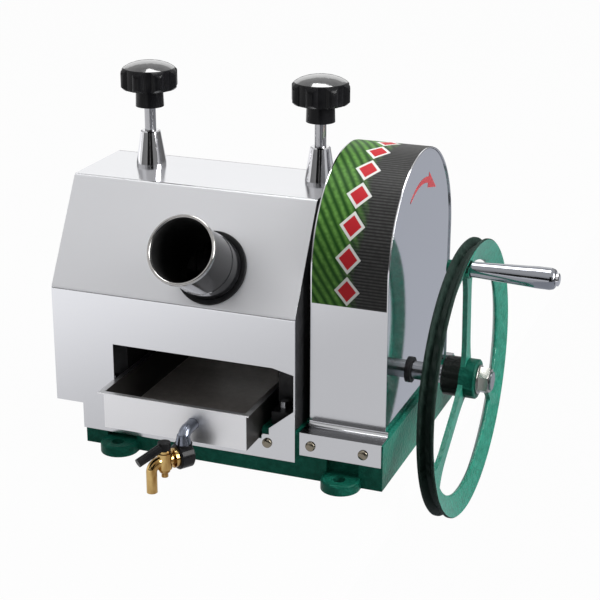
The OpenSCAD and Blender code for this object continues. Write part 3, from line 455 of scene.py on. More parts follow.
def polished_sheet(name, colour, rough, wave, brushed=0.15):
    mat = new_finish(name, colour, 1.0, sum(rough) / 2)
    streak = noise_of(mat, ROLLED_LINES, scale=6, detail=3)
    roughness_from(mat, streak, *rough)
    bump_on(mat, noise_of(mat, EVEN, scale=9, detail=1), wave, strength=0.6)
    if brushed:
        bump_on(mat, streak, LINE_DEPTH, strength=brushed)
    return mat


plain_sheet = polished_sheet("polished_stainless", (0.66, 0.665, 0.685), rough=(0.12, 0.18), wave=0.4 * MM)
sheet_of = {
    "case_shell": polished_sheet("case_stainless", (0.66, 0.665, 0.685), rough=(0.13, 0.20), wave=0.4 * MM),
    "gear_housing": polished_sheet("housing_stainless", (0.62, 0.625, 0.645), rough=(0.10, 0.17), wave=0.4 * MM),
    "housing_side_plate": polished_sheet("side_stainless", (0.64, 0.65, 0.68), rough=(0.03, 0.06), wave=0.2 * MM),
    "juice_tray": polished_sheet("tray_stainless", (0.82, 0.82, 0.83), rough=(0.30, 0.40), wave=0.3 * MM),
    "feed_tube": polished_sheet("mirror_tube", (0.50, 0.50, 0.52), rough=(0.04, 0.08), wave=0.1 * MM),
}
print("sheet finishes", 1 + len(sheet_of))

# %% [markdown]
# Shafts, screws and fittings come off a lathe, which leaves fine rings round the axis. A noise that is squeezed along
# that axis draws them. The tap is old brass, so a second noise lays a brown patina over the same metal.

# %% Turned metal
ALONG_X = (700, 12, 12)
FINE_ALONG_X = (900, 20, 20)
RING_DEPTH = 0.02 * MM


def turned_metal(name, colour, rough, rings):
    mat = new_finish(name, colour, 1.0, sum(rough) / 2)
    lines = noise_of(mat, rings, scale=8, detail=4)
    roughness_from(mat, lines, *rough)
    bump_on(mat, lines, RING_DEPTH, strength=0.25)
    return mat


def old_brass(name):
    mat = turned_metal(name, (0.52, 0.33, 0.11), rough=(0.08, 0.16), rings=(60, 60, 500))
    patina = noise_of(mat, (1, 1, 0.3), scale=110, detail=3)
    two_tone(mat, patina, dark=(0.24, 0.12, 0.03), light=(0.68, 0.47, 0.19))
    return mat


chrome = turned_metal("bright_chrome", (0.66, 0.66, 0.68), rough=(0.03, 0.07), rings=FINE_ALONG_X)
steel = turned_metal("turned_steel", (0.56, 0.57, 0.60), rough=(0.12, 0.22), rings=ALONG_X)
bronze = turned_metal("plain_bronze", (0.60, 0.40, 0.17), rough=(0.22, 0.36), rings=(600, 12, 12))
brass = old_brass("tap_brass_finish")
worn_nut = turned_metal("worn_nut", (0.34, 0.33, 0.31), rough=(0.12, 0.22), rings=ALONG_X)
screw_steel = turned_metal("adjusting_steel", (0.34, 0.34, 0.35), rough=(0.12, 0.22), rings=(12, 12, 700))
turned_of = {
    # The grip's chrome is darkened to 0.33 as a painted dark reflection.
    "hand_grip": turned_metal("grip_chrome", (0.33, 0.34, 0.37), rough=(0.04, 0.09), rings=FINE_ALONG_X),
    "crank_shaft": turned_metal("darker_shaft", (0.30, 0.31, 0.33), rough=(0.14, 0.24), rings=ALONG_X),
    "tap_pipe": turned_metal("blued_pipe", (0.22, 0.24, 0.29), rough=(0.16, 0.28), rings=(60, 500, 60)),
    "wheel_nut": worn_nut, "wheel_washer": worn_nut, "left_screw": screw_steel, "right_screw": screw_steel,
}
print("turned finishes", chrome.name, steel.name, bronze.name, brass.name, "and own ones on", len(turned_of), "nodes")

# %% [markdown]
# What is neither sheet nor turned is either a rough dark skin or moulded black plastic and rubber, and both are a
# blotchy dark colour with a fine grain. The skin is real on the greased gears, and on the steel that the covers keep in
# the shade its darkness is painted shade.

# %% Dark skins and black mouldings
SKIN_DEPTH = 0.3 * MM
MOULD_GRAIN = 0.04 * MM


def cast_skin(name, dark, light, rough, metallic, shine=0.5):
    mat = new_finish(name, dark, metallic, sum(rough) / 2)
    skin = noise_of(mat, EVEN, scale=160, detail=8)
    two_tone(mat, skin, dark, light)
    roughness_from(mat, skin, *rough)
    bump_on(mat, skin, SKIN_DEPTH, strength=0.4)
    set_gloss(mat, shine)
    return mat


def moulded_black(name, rough, shine, coat=0.0):
    mat = new_finish(name, (0.010, 0.010, 0.011), 0.0, sum(rough) / 2)
    haze = noise_of(mat, EVEN, scale=70, detail=6)
    two_tone(mat, haze, dark=(0.006, 0.006, 0.007), light=(0.012, 0.012, 0.013))
    roughness_from(mat, haze, *rough)
    bump_on(mat, noise_of(mat, EVEN, scale=900, detail=2), MOULD_GRAIN, strength=0.3)
    set_gloss(mat, shine, coat)
    return mat


iron = cast_skin("greased_iron", (0.012, 0.012, 0.013), (0.03, 0.03, 0.032), rough=(0.35, 0.55), metallic=0.3)
collar = cast_skin("dark_collar_ring", (0.006, 0.006, 0.0065), (0.012, 0.012, 0.013),
                   rough=(0.4, 0.55), metallic=0.0, shine=0.12)
# The case's right end and the inner steel are darkened as painted shade.
shaded_end = cast_skin("shaded_end", (0.012, 0.012, 0.013), (0.03, 0.03, 0.032), rough=(0.4, 0.6), metallic=0.2)
shade_steel = cast_skin("inner_painted_shade", (0.020, 0.019, 0.018), (0.045, 0.042, 0.040),
                        rough=(0.35, 0.5), metallic=0.6)
plastic = moulded_black("glossy_black", rough=(0.14, 0.22), shine=0.11)
rubber = moulded_black("seal_rubber", rough=(0.5, 0.65), shine=0.2)
print("dark finishes", [mat.name for mat in (iron, collar, shaded_end, shade_steel, plastic, rubber)])

# %% [markdown]
# The frame names a material slot for each node, and most nodes take the finish of their slot. Some look different in
# the photo though their slot is the same, such as the darker shaft among the bright steel, so they have their own. The
# dark finish of the case's right end and of the rollers, plate and rods inside is painted shade.

# %% Finish of each node
slot_finish = {
    "green_casting": base_enamel, "polished_sheet": plain_sheet, "chrome_fittings": chrome, "machined_steel": steel,
    "gear_iron": iron, "bronze_bush": bronze, "black_plastic": plastic, "tap_brass": brass, "black_rubber": rubber,
    "dark_collar": collar,
}
INNER_NODES = ("top_roller", "front_roller", "rear_roller", "turn_plate", "tie_rods")
own_finish = {**sheet_of, **turned_of, **dict.fromkeys(INNER_NODES, shade_steel),
              "crank_wheel": wheel_enamel, "case_right_end": shaded_end}
slot_of = {row["node"]: row["material_slot"] for row in frame["record"]["subparts"]}
finish_of = {node: own_finish.get(node, slot_finish[chosen]) for node, chosen in slot_of.items()}
for node, finish in finish_of.items():
    part = bpy.data.objects[node]
    part.data.materials.clear()
    part.data.materials.append(finish)
print("finishes on", len(finish_of), "nodes,", len(own_finish), "of them their own")

# %% [markdown]
# Anything new is made in the same few steps: a mesh, an object that holds it, and the calls that say which body it
# rides on and which nodes it stands for. A modifier is turned into a plain mesh on the way.

# %% Making a piece


def helper(name, mesh):
    thing = bpy.data.objects.new(name, mesh)
    bpy.context.collection.objects.link(thing)
    return thing


def plain_mesh(name, thing):
    bpy.context.view_layer.update()
    seen = thing.evaluated_get(bpy.context.evaluated_depsgraph_get())
    mesh = bpy.data.meshes.new_from_object(seen)
    mesh.name = name
    return mesh


def new_piece(name, mesh, finish):
    mesh.materials.clear()
    mesh.materials.append(finish)
    return helper(name, mesh)


def dress(piece, body, chosen, *nodes):
    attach(piece, body)
    if nodes:
        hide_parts(*nodes)
    return piece


def smooth_all(mesh):
    for face in mesh.polygons:
        face.use_smooth = True


print("piece helpers: plain mesh, piece, dress and smooth")

# %% [markdown]
# A real edge is never a line: castings are rounded, sheet is bent over a radius, and turned parts have a broken corner.
# A node's mesh is copied, its flat triangles are joined into whole faces, and its sharp edges are then bevelled. A
# Bevel modifier could do that too, but here the edges can be chosen: long folds of a sheet get a wider radius first.

# %% Bevelled copy of a node
SAME_POINT = 1e-6
FLAT_WITHIN = math.radians(0.5)
SHARP_FROM = math.radians(32)
SHADE_FROM = math.radians(40)
FOLD_ANGLES = (math.radians(12), math.radians(80))
FOLD_ALONG = 0.999
FOLD_STEPS = 4
EDGE_STEPS = 2


def bevel(shape, edges, width, steps):
    bmesh.ops.bevel(shape, geom=edges, offset=width, offset_type="OFFSET", segments=steps, profile=0.5,
                    affect="EDGES", clamp_overlap=True)


def long_folds(shape, along, least):
    found = []
    for edge in shape.edges:
        if len(edge.link_faces) == 2 and edge.calc_length() > least:
            way = (edge.verts[0].co - edge.verts[1].co).normalized()
            if abs(way.dot(along)) > FOLD_ALONG and FOLD_ANGLES[0] < edge.calc_face_angle(0) < FOLD_ANGLES[1]:
                found.append(edge)
    return found


def bevelled_mesh(node, width, folds):
    shape = bmesh.new()
    shape.from_mesh(bpy.data.objects[node].data)
    bmesh.ops.remove_doubles(shape, verts=shape.verts, dist=SAME_POINT)
    bmesh.ops.dissolve_limit(shape, angle_limit=FLAT_WITHIN, verts=shape.verts, edges=shape.edges)
    if folds:
        bevel(shape, long_folds(shape, folds["along"], folds["least"]), folds["radius"], FOLD_STEPS)
    sharp = [e for e in shape.edges if len(e.link_faces) == 2 and e.calc_face_angle(0) > SHARP_FROM]
    bevel(shape, sharp, width, EDGE_STEPS)
    mesh = bpy.data.meshes.new(node + "_bevelled")
    shape.to_mesh(mesh)
    shape.free()
    smooth_all(mesh)
    mesh.set_sharp_from_angle(angle=SHADE_FROM)
    return mesh


print("edges sharper than", round(math.degrees(SHARP_FROM)), "degrees will be bevelled")

# %% [markdown]
# Each node below gets its own width of bevel, in millimetres. Shading that leans towards the large faces keeps them
# flat, and the copy then stands for the node.

# %% Softened edges
FLAT_WEIGHT = 50
ROUNDED = {
    "base_casting": 1.6, "crank_wheel": 1.2, "case_left_end": 0.4, "case_right_end": 0.4,
    "gear_housing": 0.35, "housing_side_plate": 0.35, "feed_tube": 0.5, "feed_collar": 0.8, "juice_tray": 0.4,
    "left_knob": 1.5, "right_knob": 1.5, "wheel_nut": 0.9, "wheel_washer": 0.5, "hand_grip": 1.0,
    "tap_body": 0.5, "tap_spout": 0.4, "tap_plug": 0.5, "tap_lever": 1.0, "tap_locknut": 0.7,
}
CASE_ROUND = 0.35
CASE_FOLDS = {"along": Vector((1, 0, 0)), "least": 0.1, "radius": 2.2 * MM}


def softened(node, width, folds=None):
    worked = helper(node + "_bevelled", bevelled_mesh(node, width, folds))
    flat = worked.modifiers.new("flat_faces", "WEIGHTED_NORMAL")
    flat.mode = "FACE_AREA"
    flat.weight = FLAT_WEIGHT
    flat.keep_sharp = True
    piece = new_piece(node + "_soft", plain_mesh(node + "_soft", worked), finish_of[node])
    bpy.data.objects.remove(worked)
    return dress(piece, bpy.data.objects[node]["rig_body"], slot_of[node], node)


made = [softened(node, width * MM) for node, width in ROUNDED.items()]
made.append(softened("case_shell", CASE_ROUND * MM, CASE_FOLDS))
print("softened", len(made), "faces", sum(len(p.data.polygons) for p in made))

# %% [markdown]
# Only the front of the tray is kept bright. Its floor is stained where juice stands in it, and its sides and back,
# which slide in the dark case, are painted dark as painted shade. This needs no new shape, only a second finish on some
# faces. A short rule says for each face, from the way it looks and where it lies, whether it belongs.

# %% Dull tray
FACING = 0.9
LEANING = 0.5
TRAY_WALL = 3 * MM
tray_low, tray_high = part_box("juice_tray")


def second_finish(name, finish, belongs):
    mesh = bpy.data.objects[name].data
    mesh.materials.append(finish)
    chosen = [face for face in mesh.polygons if belongs(face)]
    for face in chosen:
        face.material_index = len(mesh.materials) - 1
    return len(chosen)


def tray_floor(face):
    return face.normal.z > FACING and face.center.z < tray_low.z + 2 * TRAY_WALL


def shaded_tray_walls(face):
    inside_front = face.normal.y > LEANING and face.center.y < tray_low.y + TRAY_WALL
    back = face.normal.y < -LEANING and face.center.y > tray_high.y - TRAY_WALL
    return abs(face.normal.x) > FACING or inside_front or back


tray_stain = cast_skin("stained_tray", (0.58, 0.535, 0.505), (0.66, 0.61, 0.58),
                       rough=(0.30, 0.42), metallic=0.0, shine=0.3)
print("tray faces stained", second_finish("juice_tray_soft", tray_stain, tray_floor),
      "shaded", second_finish("juice_tray_soft", shade_steel, shaded_tray_walls))

# %% [markdown]
# The inside of the feed tube and its right side are painted dark as painted shade, while the rest of it is bright. A
# face looks inwards or outwards from the tube's middle line, which leans forwards out of the case.

# %% Dark feed tube
TUBE_LEAN = math.radians(60.1)
TUBE_WAY = Vector((0, -math.sin(TUBE_LEAN), math.cos(TUBE_LEAN)))
ON_LINE = 0.1 * MM
SHADED_FROM = 0.42
SHADED_SHARE = 0.25
tube_low, tube_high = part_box("feed_tube")
tube_middle = (tube_low + tube_high) / 2
shaded_to = (tube_high - tube_low).z * SHADED_SHARE


def from_tube_line(face):
    away = face.center - tube_middle
    along = away.dot(TUBE_WAY)
    away -= TUBE_WAY * along
    outward = face.normal.dot(away.normalized()) if away.length > ON_LINE else 0.0
    return along, outward


def tube_inside(face):
    return from_tube_line(face)[1] < -LEANING


def tube_shaded(face):
    along, outward = from_tube_line(face)
    return outward > LEANING and face.normal.x > SHADED_FROM and along < shaded_to


# Both dark finishes of the tube are painted shade: the inside and the right side.
tube_inside_shade = cast_skin("tube_inside_painted_shade", (0.006, 0.006, 0.006), (0.012, 0.012, 0.012), rough=(0.45, 0.6), metallic=0.0)
tube_side_shade = moulded_black("tube_side_painted_shade", rough=(0.10, 0.16), shine=0.22)
print("tube faces inside_shaded", second_finish("feed_tube_soft", tube_inside_shade, tube_inside),
      "side_shaded", second_finish("feed_tube_soft", tube_side_shade, tube_shaded))

# %% [markdown]
# Three more places differ from the rest of their piece. The slope of the case is satin and not mirror bright, the ledge
# at the foot of the gear housing is painted dark as painted shade, and the domed caps of the two knobs shine more than
# their lobes.

# %% Slope, ledge and knob caps
SLOPE_RISE = (0.3, 0.9)
SLOPE_FRONT = -0.3
LEDGE_BELOW = 60 * MM
CAP_FROM = 0.78


def on_slope(face):
    return SLOPE_RISE[0] < face.normal.z < SLOPE_RISE[1] and face.normal.y < SLOPE_FRONT


def foot_ledge(face):
    return face.normal.z > FACING and face.center.z < LEDGE_BELOW


def knob_top(face):
    return face.normal.z > CAP_FROM


slope_steel = polished_sheet("slope_stainless", (0.70, 0.703, 0.722), rough=(0.60, 0.605), wave=0.4 * MM, brushed=0)
# The ledge's dark steel is painted shade.
ledge_shade = polished_sheet("ledge_painted_shade", (0.20, 0.20, 0.21), rough=(0.20, 0.30), wave=0.3 * MM)
knob_cap = moulded_black("knob_cap", rough=(0.10, 0.16), shine=1.0, coat=1.0)
print("slope faces", second_finish("case_shell_soft", slope_steel, on_slope),
      "ledge", second_finish("gear_housing_soft", ledge_shade, foot_ledge),
      "caps", [second_finish(knob, knob_cap, knob_top) for knob in ("left_knob_soft", "right_knob_soft")])

# %% [markdown]
# The frame has all cover screws in one node, as plain heads that don't touch each other. To know where each one sits,
# the mesh is walked from point to point along its edges, and each group that hangs together gives one box.

# %% Places of the cover screws


def island_boxes(node):
    shape = bmesh.new()
    shape.from_mesh(bpy.data.objects[node].data)
    bmesh.ops.remove_doubles(shape, verts=shape.verts, dist=SAME_POINT)
    left, boxes = list(shape.verts), []
    while left:
        group, waiting = set(), [left[0]]
        while waiting:
            vert = waiting.pop()
            if vert not in group:
                group.add(vert)
                waiting.extend(e.other_vert(vert) for e in vert.link_edges)
        left = [v for v in left if v not in group]
        low = Vector([min(v.co[i] for v in group) for i in range(3)])
        high = Vector([max(v.co[i] for v in group) for i in range(3)])
        boxes.append((low, high))
    shape.free()
    return boxes


heads = island_boxes("cover_screws")
head_size = heads[0][1] - heads[0][0]
print("screw places", len(heads), "head radius", round(head_size.x / 2 / MM, 2), "mm")

# %% [markdown]
# The screws are one modelled head set on several places. The head is a revolved dome with a cross cut into it by a
# Boolean modifier, and it has the size of the plain heads. The cross is given in shares of that size.

# %% One screw head
DOME_STEPS = 8
HEAD_SIDE = 0.30
CROSS = {"arm": 1.15, "wide": 0.28, "floor": 0.35, "above": 1.4}
CROSS_TAPER = 0.55


def revolved(name, outline, around=40):
    shape = bmesh.new()
    turn = [2 * math.pi * i / around for i in range(around)]
    rings = []
    for radius, height in outline:
        if radius == 0:
            rings.append([shape.verts.new((0, 0, height))] * around)
        else:
            rings.append([shape.verts.new((radius * math.cos(a), radius * math.sin(a), height)) for a in turn])
    for low, high in zip(rings, rings[1:]):
        for i in range(around):
            j = (i + 1) % around
            shape.faces.new(list(dict.fromkeys((low[i], low[j], high[j], high[i]))))
    bmesh.ops.remove_doubles(shape, verts=shape.verts, dist=SAME_POINT / 10)
    bmesh.ops.recalc_face_normals(shape, faces=shape.faces)
    mesh = bpy.data.meshes.new(name)
    shape.to_mesh(mesh)
    shape.free()
    return mesh


def cross_cutter(name, arm, wide, low, high):
    shape = bmesh.new()
    for size in ((arm, wide), (wide, arm)):
        for vert in bmesh.ops.create_cube(shape, size=1)["verts"]:
            deep = vert.co.z < 0
            shrink = CROSS_TAPER if deep else 1.0
            vert.co = Vector((vert.co.x * size[0] * shrink, vert.co.y * size[1] * shrink, low if deep else high))
    mesh = bpy.data.meshes.new(name)
    shape.to_mesh(mesh)
    shape.free()
    return mesh


def screw_head(radius, rise):
    steps = [i * math.pi / (2 * DOME_STEPS) for i in range(1, DOME_STEPS)]
    dome = [(radius * math.cos(t), rise * (HEAD_SIDE + (1 - HEAD_SIDE) * math.sin(t))) for t in steps]
    outline = [(0, 0), (radius, 0), (radius, rise * HEAD_SIDE), *dome, (0, rise)]
    head = helper("screw_head", revolved("screw_head", outline))
    cutter = helper("screw_cross", cross_cutter("screw_cross", radius * CROSS["arm"], radius * CROSS["wide"],
                                                rise * CROSS["floor"], rise * CROSS["above"]))
    cut = head.modifiers.new("cross", "BOOLEAN")
    cut.operation = "DIFFERENCE"
    cut.solver = "EXACT"
    cut.object = cutter
    mesh = plain_mesh("screw_head_cut", head)
    bpy.data.objects.remove(head)
    bpy.data.objects.remove(cutter)
    return helper("screw_head_cut", mesh)


head_source = screw_head(head_size.x / 2, head_size.y)
print("screw head of", len(head_source.data.polygons), "faces")

# %% [markdown]
# Setting the same head on many places is a job for Geometry Nodes. The tree takes a mesh of loose points, puts a copy
# of the head on each, turned by the angles kept on the point, and makes the copies real before they get their finish.

# %% Tree that sets the heads


def scatter_tree(name):
    tree = bpy.data.node_groups.new(name, "GeometryNodeTree")
    tree.interface.new_socket("Places", in_out="INPUT", socket_type="NodeSocketGeometry")
    tree.interface.new_socket("Head", in_out="INPUT", socket_type="NodeSocketObject")
    tree.interface.new_socket("Finish", in_out="INPUT", socket_type="NodeSocketMaterial")
    tree.interface.new_socket("Heads", in_out="OUTPUT", socket_type="NodeSocketGeometry")
    start = tree.nodes.new("NodeGroupInput")
    end = tree.nodes.new("NodeGroupOutput")
    source = tree.nodes.new("GeometryNodeObjectInfo")
    turn = tree.nodes.new("GeometryNodeInputNamedAttribute")
    turn.data_type = "FLOAT_VECTOR"
    turn.inputs["Name"].default_value = "turn"
    copies = tree.nodes.new("GeometryNodeInstanceOnPoints")
    real = tree.nodes.new("GeometryNodeRealizeInstances")
    paint = tree.nodes.new("GeometryNodeSetMaterial")
    tree.links.new(start.outputs["Places"], copies.inputs["Points"])
    tree.links.new(start.outputs["Head"], source.inputs["Object"])
    tree.links.new(source.outputs["Geometry"], copies.inputs["Instance"])
    tree.links.new(turn.outputs["Attribute"], copies.inputs["Rotation"])
    tree.links.new(copies.outputs["Instances"], real.inputs["Geometry"])
    tree.links.new(real.outputs["Geometry"], paint.inputs["Geometry"])
    tree.links.new(start.outputs["Finish"], paint.inputs["Material"])
    tree.links.new(paint.outputs["Geometry"], end.inputs["Heads"])
    return tree


heads_tree = scatter_tree("cover_screw_heads_tree")
print("tree of", len(heads_tree.nodes), "nodes")

# %% [markdown]
# Five of the six places get a head, because the front of the left apron is plain. Front heads look forwards and rear
# heads backwards, and each cross is turned by another angle, as a hand with a screwdriver leaves it.

# %% Screw heads on their places
LEFT_APRON = -0.1
FIRST_SPIN, NEXT_SPIN = 0.37, 1.1
HEAD_SHADE = math.radians(35)


def scattered(name, places, turns, tree, source, finish):
    mesh = bpy.data.meshes.new(name + "_places")
    mesh.from_pydata(places, [], [])
    kept = mesh.attributes.new("turn", "FLOAT_VECTOR", "POINT")
    kept.data.foreach_set("vector", [c for turn in turns for c in turn])
    holder = helper(name + "_places", mesh)
    step = holder.modifiers.new("scatter", "NODES")
    step.node_group = tree
    ids = {item.name: item.identifier for item in tree.interface.items_tree if item.in_out == "INPUT"}
    step[ids["Head"]] = source
    step[ids["Finish"]] = finish
    mesh = plain_mesh(name, holder)
    bpy.data.objects.remove(holder)
    smooth_all(mesh)
    mesh.set_sharp_from_angle(angle=HEAD_SHADE)
    return new_piece(name, mesh, finish)


def screw_turn(front, spin):
    outwards = Matrix.Rotation(math.radians(90 if front else -90), 3, "X")
    return tuple((outwards @ Matrix.Rotation(spin, 3, "Z")).to_euler())


places, turns = [], []
for i, (low, high) in enumerate(heads):
    front = low.y < 0
    if front and low.x < LEFT_APRON:
        continue
    places.append(((low.x + high.x) / 2, high.y if front else low.y, (low.z + high.z) / 2))
    turns.append(screw_turn(front, FIRST_SPIN + NEXT_SPIN * i))
tarnished = turned_metal("tarnished_screw", (0.25, 0.22, 0.17), rough=(0.14, 0.26), rings=(300, 300, 300))
screws = scattered("cover_screw_heads", places, turns, heads_tree, head_source, tarnished)
bpy.data.objects.remove(head_source)
dress(screws, "frame", slot_of["cover_screws"], "cover_screws")
print("screw heads", len(places), "faces", len(screws.data.polygons))

# %% [markdown]
# The mouth of the feed tube is rolled over into a round lip. The lip is a ring turned about the tube's own middle line
# and set on the end that looks out of the case.

# %% Rolled lip of the feed tube
LIP_HALF = 1.7 * MM
LIP_STEPS = 16
LIP_AROUND = 72
RIM_WITHIN = 0.05 * MM


def rolled_lip(name, finish):
    corners = [v.co for v in bpy.data.objects["feed_tube"].data.vertices]
    mouth = max(p.dot(TUBE_WAY) for p in corners)
    rim = [p for p in corners if p.dot(TUBE_WAY) > mouth - RIM_WITHIN]
    middle = sum(rim, Vector()) / len(rim)
    radius = sum((p - middle).length for p in rim) / len(rim)
    turn = [2 * math.pi * i / LIP_STEPS for i in range(LIP_STEPS + 1)]
    mesh = revolved(name, [(radius + LIP_HALF * math.cos(a), LIP_HALF * math.sin(a)) for a in turn], LIP_AROUND)
    mesh.transform(Matrix.Translation(middle) @ TUBE_WAY.to_track_quat("Z", "Y").to_matrix().to_4x4())
    smooth_all(mesh)
    return new_piece(name, mesh, finish), radius


lip_steel = turned_metal("lip_steel", (0.42, 0.41, 0.40), rough=(0.14, 0.22), rings=(300, 300, 300))
lip, lip_radius = rolled_lip("feed_tube_lip", lip_steel)
dress(lip, "frame", slot_of["feed_tube"])
print("lip radius", round(lip_radius / MM, 2), "mm")

# %% [markdown]
# The arch of the gear housing carries a printed film. It could be a colour on the housing itself, but a thin sheet has
# its own UV map, which here counts in widths of the film, so the pattern can be written as plain arithmetic: slanting
# green stripes that give way to lined charcoal, and a chain of red lozenges with white edges.

# %% Pattern of the film
STRIPES_ALONG, STRIPES_ACROSS = 34, 52
LINES_ALONG = 150
SWAY_ALONG, SWAY = 4.1, 0.05
FADE_ACROSS = (0.40, 0.62)
LOZENGE = {"pitch": 0.42, "short": 2.15, "place": 0.47, "half": 0.17, "fill": 0.72}
GREENS = ((0.012, 0.060, 0.008), (0.19, 0.44, 0.09))
CHARCOALS = ((0.018, 0.018, 0.018), (0.10, 0.10, 0.098))
EDGE_WHITE = (0.72, 0.72, 0.70)
LOZENGE_RED = (0.50, 0.022, 0.03)


def calc(mat, operation, first, second=0.0):
    node = mat.node_tree.nodes.new("ShaderNodeMath")
    node.operation = operation
    for socket, value in zip(node.inputs, (first, second)):
        if isinstance(value, (int, float)):
            socket.default_value = value
        else:
            mat.node_tree.links.new(value, socket)
    return node.outputs[0]


def waves(mat, source):
    return spread(mat, calc(mat, "SINE", source), 0, 1, (-1, 1))


def film_field(mat, across, along, grain):
    lengthwise = calc(mat, "MULTIPLY", along, STRIPES_ALONG)
    stripes = waves(mat, calc(mat, "ADD", lengthwise, calc(mat, "MULTIPLY", across, STRIPES_ACROSS)))
    green = mixed(mat, calc(mat, "MULTIPLY", stripes, grain), *GREENS)
    lines = waves(mat, calc(mat, "MULTIPLY", along, LINES_ALONG))
    charcoal = mixed(mat, calc(mat, "MULTIPLY", lines, grain), *CHARCOALS)
    sway = calc(mat, "MULTIPLY", calc(mat, "SINE", calc(mat, "MULTIPLY", along, SWAY_ALONG)), SWAY)
    return mixed(mat, spread(mat, calc(mat, "ADD", across, sway), 0, 1, FADE_ACROSS), green, charcoal)


def with_lozenges(mat, across, along, field):
    step = calc(mat, "SUBTRACT", calc(mat, "FRACT", calc(mat, "DIVIDE", along, LOZENGE["pitch"])), 0.5)
    tall = calc(mat, "MULTIPLY", calc(mat, "ABSOLUTE", step), LOZENGE["short"])
    aside = calc(mat, "ABSOLUTE", calc(mat, "SUBTRACT", across, LOZENGE["place"]))
    reach = calc(mat, "ADD", tall, calc(mat, "DIVIDE", aside, LOZENGE["half"]))
    edged = mixed(mat, calc(mat, "LESS_THAN", reach, 1.0), field, EDGE_WHITE)
    return mixed(mat, calc(mat, "LESS_THAN", reach, LOZENGE["fill"]), edged, LOZENGE_RED)


def printed_film(name):
    mat = new_finish(name, (0.1, 0.2, 0.1), 0.0, 0.3)
    chart = mat.node_tree.nodes.new("ShaderNodeUVMap")
    chart.uv_map = "film"
    split = mat.node_tree.nodes.new("ShaderNodeSeparateXYZ")
    mat.node_tree.links.new(chart.outputs[0], split.inputs[0])
    across, along = split.outputs["X"], split.outputs["Y"]
    grain = noise_of(mat, EVEN, scale=260, detail=5)
    pattern = with_lozenges(mat, across, along, film_field(mat, across, along, grain))
    mat.node_tree.links.new(pattern, shader_of(mat).inputs["Base Color"])
    roughness_from(mat, grain, 0.40, 0.55)
    set_gloss(mat, shine=0.12)
    return mat


film_print = printed_film("printed_film")
print("film pattern of", len(film_print.node_tree.nodes), "nodes")

# %% [markdown]
# The sheet of the film follows the arch a quarter of a millimetre off the steel, from the front over the top to the
# back. The arch is measured on the housing: its half width is the radius, and its top gives the middle.

# %% Sheet of the film
FILM_LOW = 183 * MM
FILM_OFF = 0.25 * MM
FILM_MARGIN = 1.5 * MM
FILM_STEPS = 72
HEM = 3.0 * MM


def film_path():
    high = [v.co for v in bpy.data.objects["gear_housing"].data.vertices if v.co.z > FILM_LOW]
    radius = max(abs(p.y) for p in high)
    middle = max(p.z for p in high) - radius
    arc = [math.pi * (1 - i / FILM_STEPS) for i in range(FILM_STEPS + 1)]
    off = radius + FILM_OFF
    path = [(-off, FILM_LOW), *((off * math.cos(a), middle + off * math.sin(a)) for a in arc), (off, FILM_LOW)]
    return path, middle


def film_piece(name, path, x_low, x_high, finish):
    wide = x_high - x_low
    run = [0.0]
    for (y0, z0), (y1, z1) in zip(path, path[1:]):
        run.append(run[-1] + math.hypot(y1 - y0, z1 - z0) / wide)
    points = [(x, y, z) for y, z in path for x in (x_low, x_high)]
    faces = [(2 * i, 2 * i + 1, 2 * i + 3, 2 * i + 2) for i in range(len(path) - 1)]
    mesh = bpy.data.meshes.new(name)
    mesh.from_pydata(points, [], faces)
    layer = mesh.uv_layers.new(name="film")
    for loop in mesh.loops:
        layer.data[loop.index].uv = (loop.vertex_index % 2, run[loop.vertex_index // 2])
    smooth_all(mesh)
    return new_piece(name, mesh, finish), run[-1]


path, arch_middle = film_path()
side_low, side_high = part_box("gear_housing")
film, film_length = film_piece("housing_film", path, side_low.x + HEM + FILM_MARGIN,
                               side_high.x - HEM - FILM_MARGIN, film_print)
dress(film, "frame", "polished_sheet")
print("film", round(film_length, 2), "widths long")

# %% [markdown]
# Below the film the housing sheet turns outwards into its foot. The turn is a bend, not a corner: a hollow quarter
# round along each foot, which catches the light from above as a bright line.

# %% Bends over the foot strips
BEND_RADIUS = 5 * MM
BEND_STEPS = 10
BEND_OFF = 0.12 * MM


def foot_bends(name, wall, ledge, x_low, x_high, finish):
    points, faces = [], []
    for side in (-1, 1):
        for i in range(BEND_STEPS + 1):
            turn = math.pi / 2 * i / BEND_STEPS
            y = side * (wall + BEND_OFF + BEND_RADIUS * (1 - math.cos(turn)))
            z = ledge + BEND_OFF + BEND_RADIUS * (1 - math.sin(turn))
            points += [(x_low, y, z), (x_high, y, z)]
        start = len(points) - 2 * (BEND_STEPS + 1)
        for i in range(start, len(points) - 2, 2):
            faces.append((i, i + 1, i + 3, i + 2) if side > 0 else (i + 2, i + 3, i + 1, i))
    mesh = bpy.data.meshes.new(name)
    mesh.from_pydata(points, [], faces)
    smooth_all(mesh)
    return new_piece(name, mesh, finish)


wall_out = path[-1][0] - FILM_OFF
housing_corners = [v.co for v in bpy.data.objects["gear_housing"].data.vertices]
ledge_top = max(p.z for p in housing_corners if abs(p.y) > wall_out + BEND_RADIUS)
bends = foot_bends("foot_bends", wall_out, ledge_top, side_low.x + HEM, side_high.x, finish_of["gear_housing"])
dress(bends, "frame", slot_of["gear_housing"])
print("bends at", round(wall_out / MM, 1), "mm out and", round(ledge_top / MM, 1), "mm up")

# %% [markdown]
# A plain red arrow on the side plate shows which way the wheel turns. Its tail follows a circle about the arch's
# middle, grows wider, and ends in a broad head. It could be a second finish on the plate, but the plate has no edges
# along the arrow, so a thin raised shape is cleaner.

# %% Turning arrow
ARROW_RADIUS = 76 * MM
ARROW_TAIL = math.radians(122)
ARROW_NECK = math.radians(74)
ARROW_TIP = math.radians(50)
ARROW_STEPS = 24
TAIL_HALF = 1.0 * MM
TAIL_GROWS = 2.4 * MM
ARROW_HEAD_HALF = 8 * MM
ARROW_THICK = 0.2 * MM


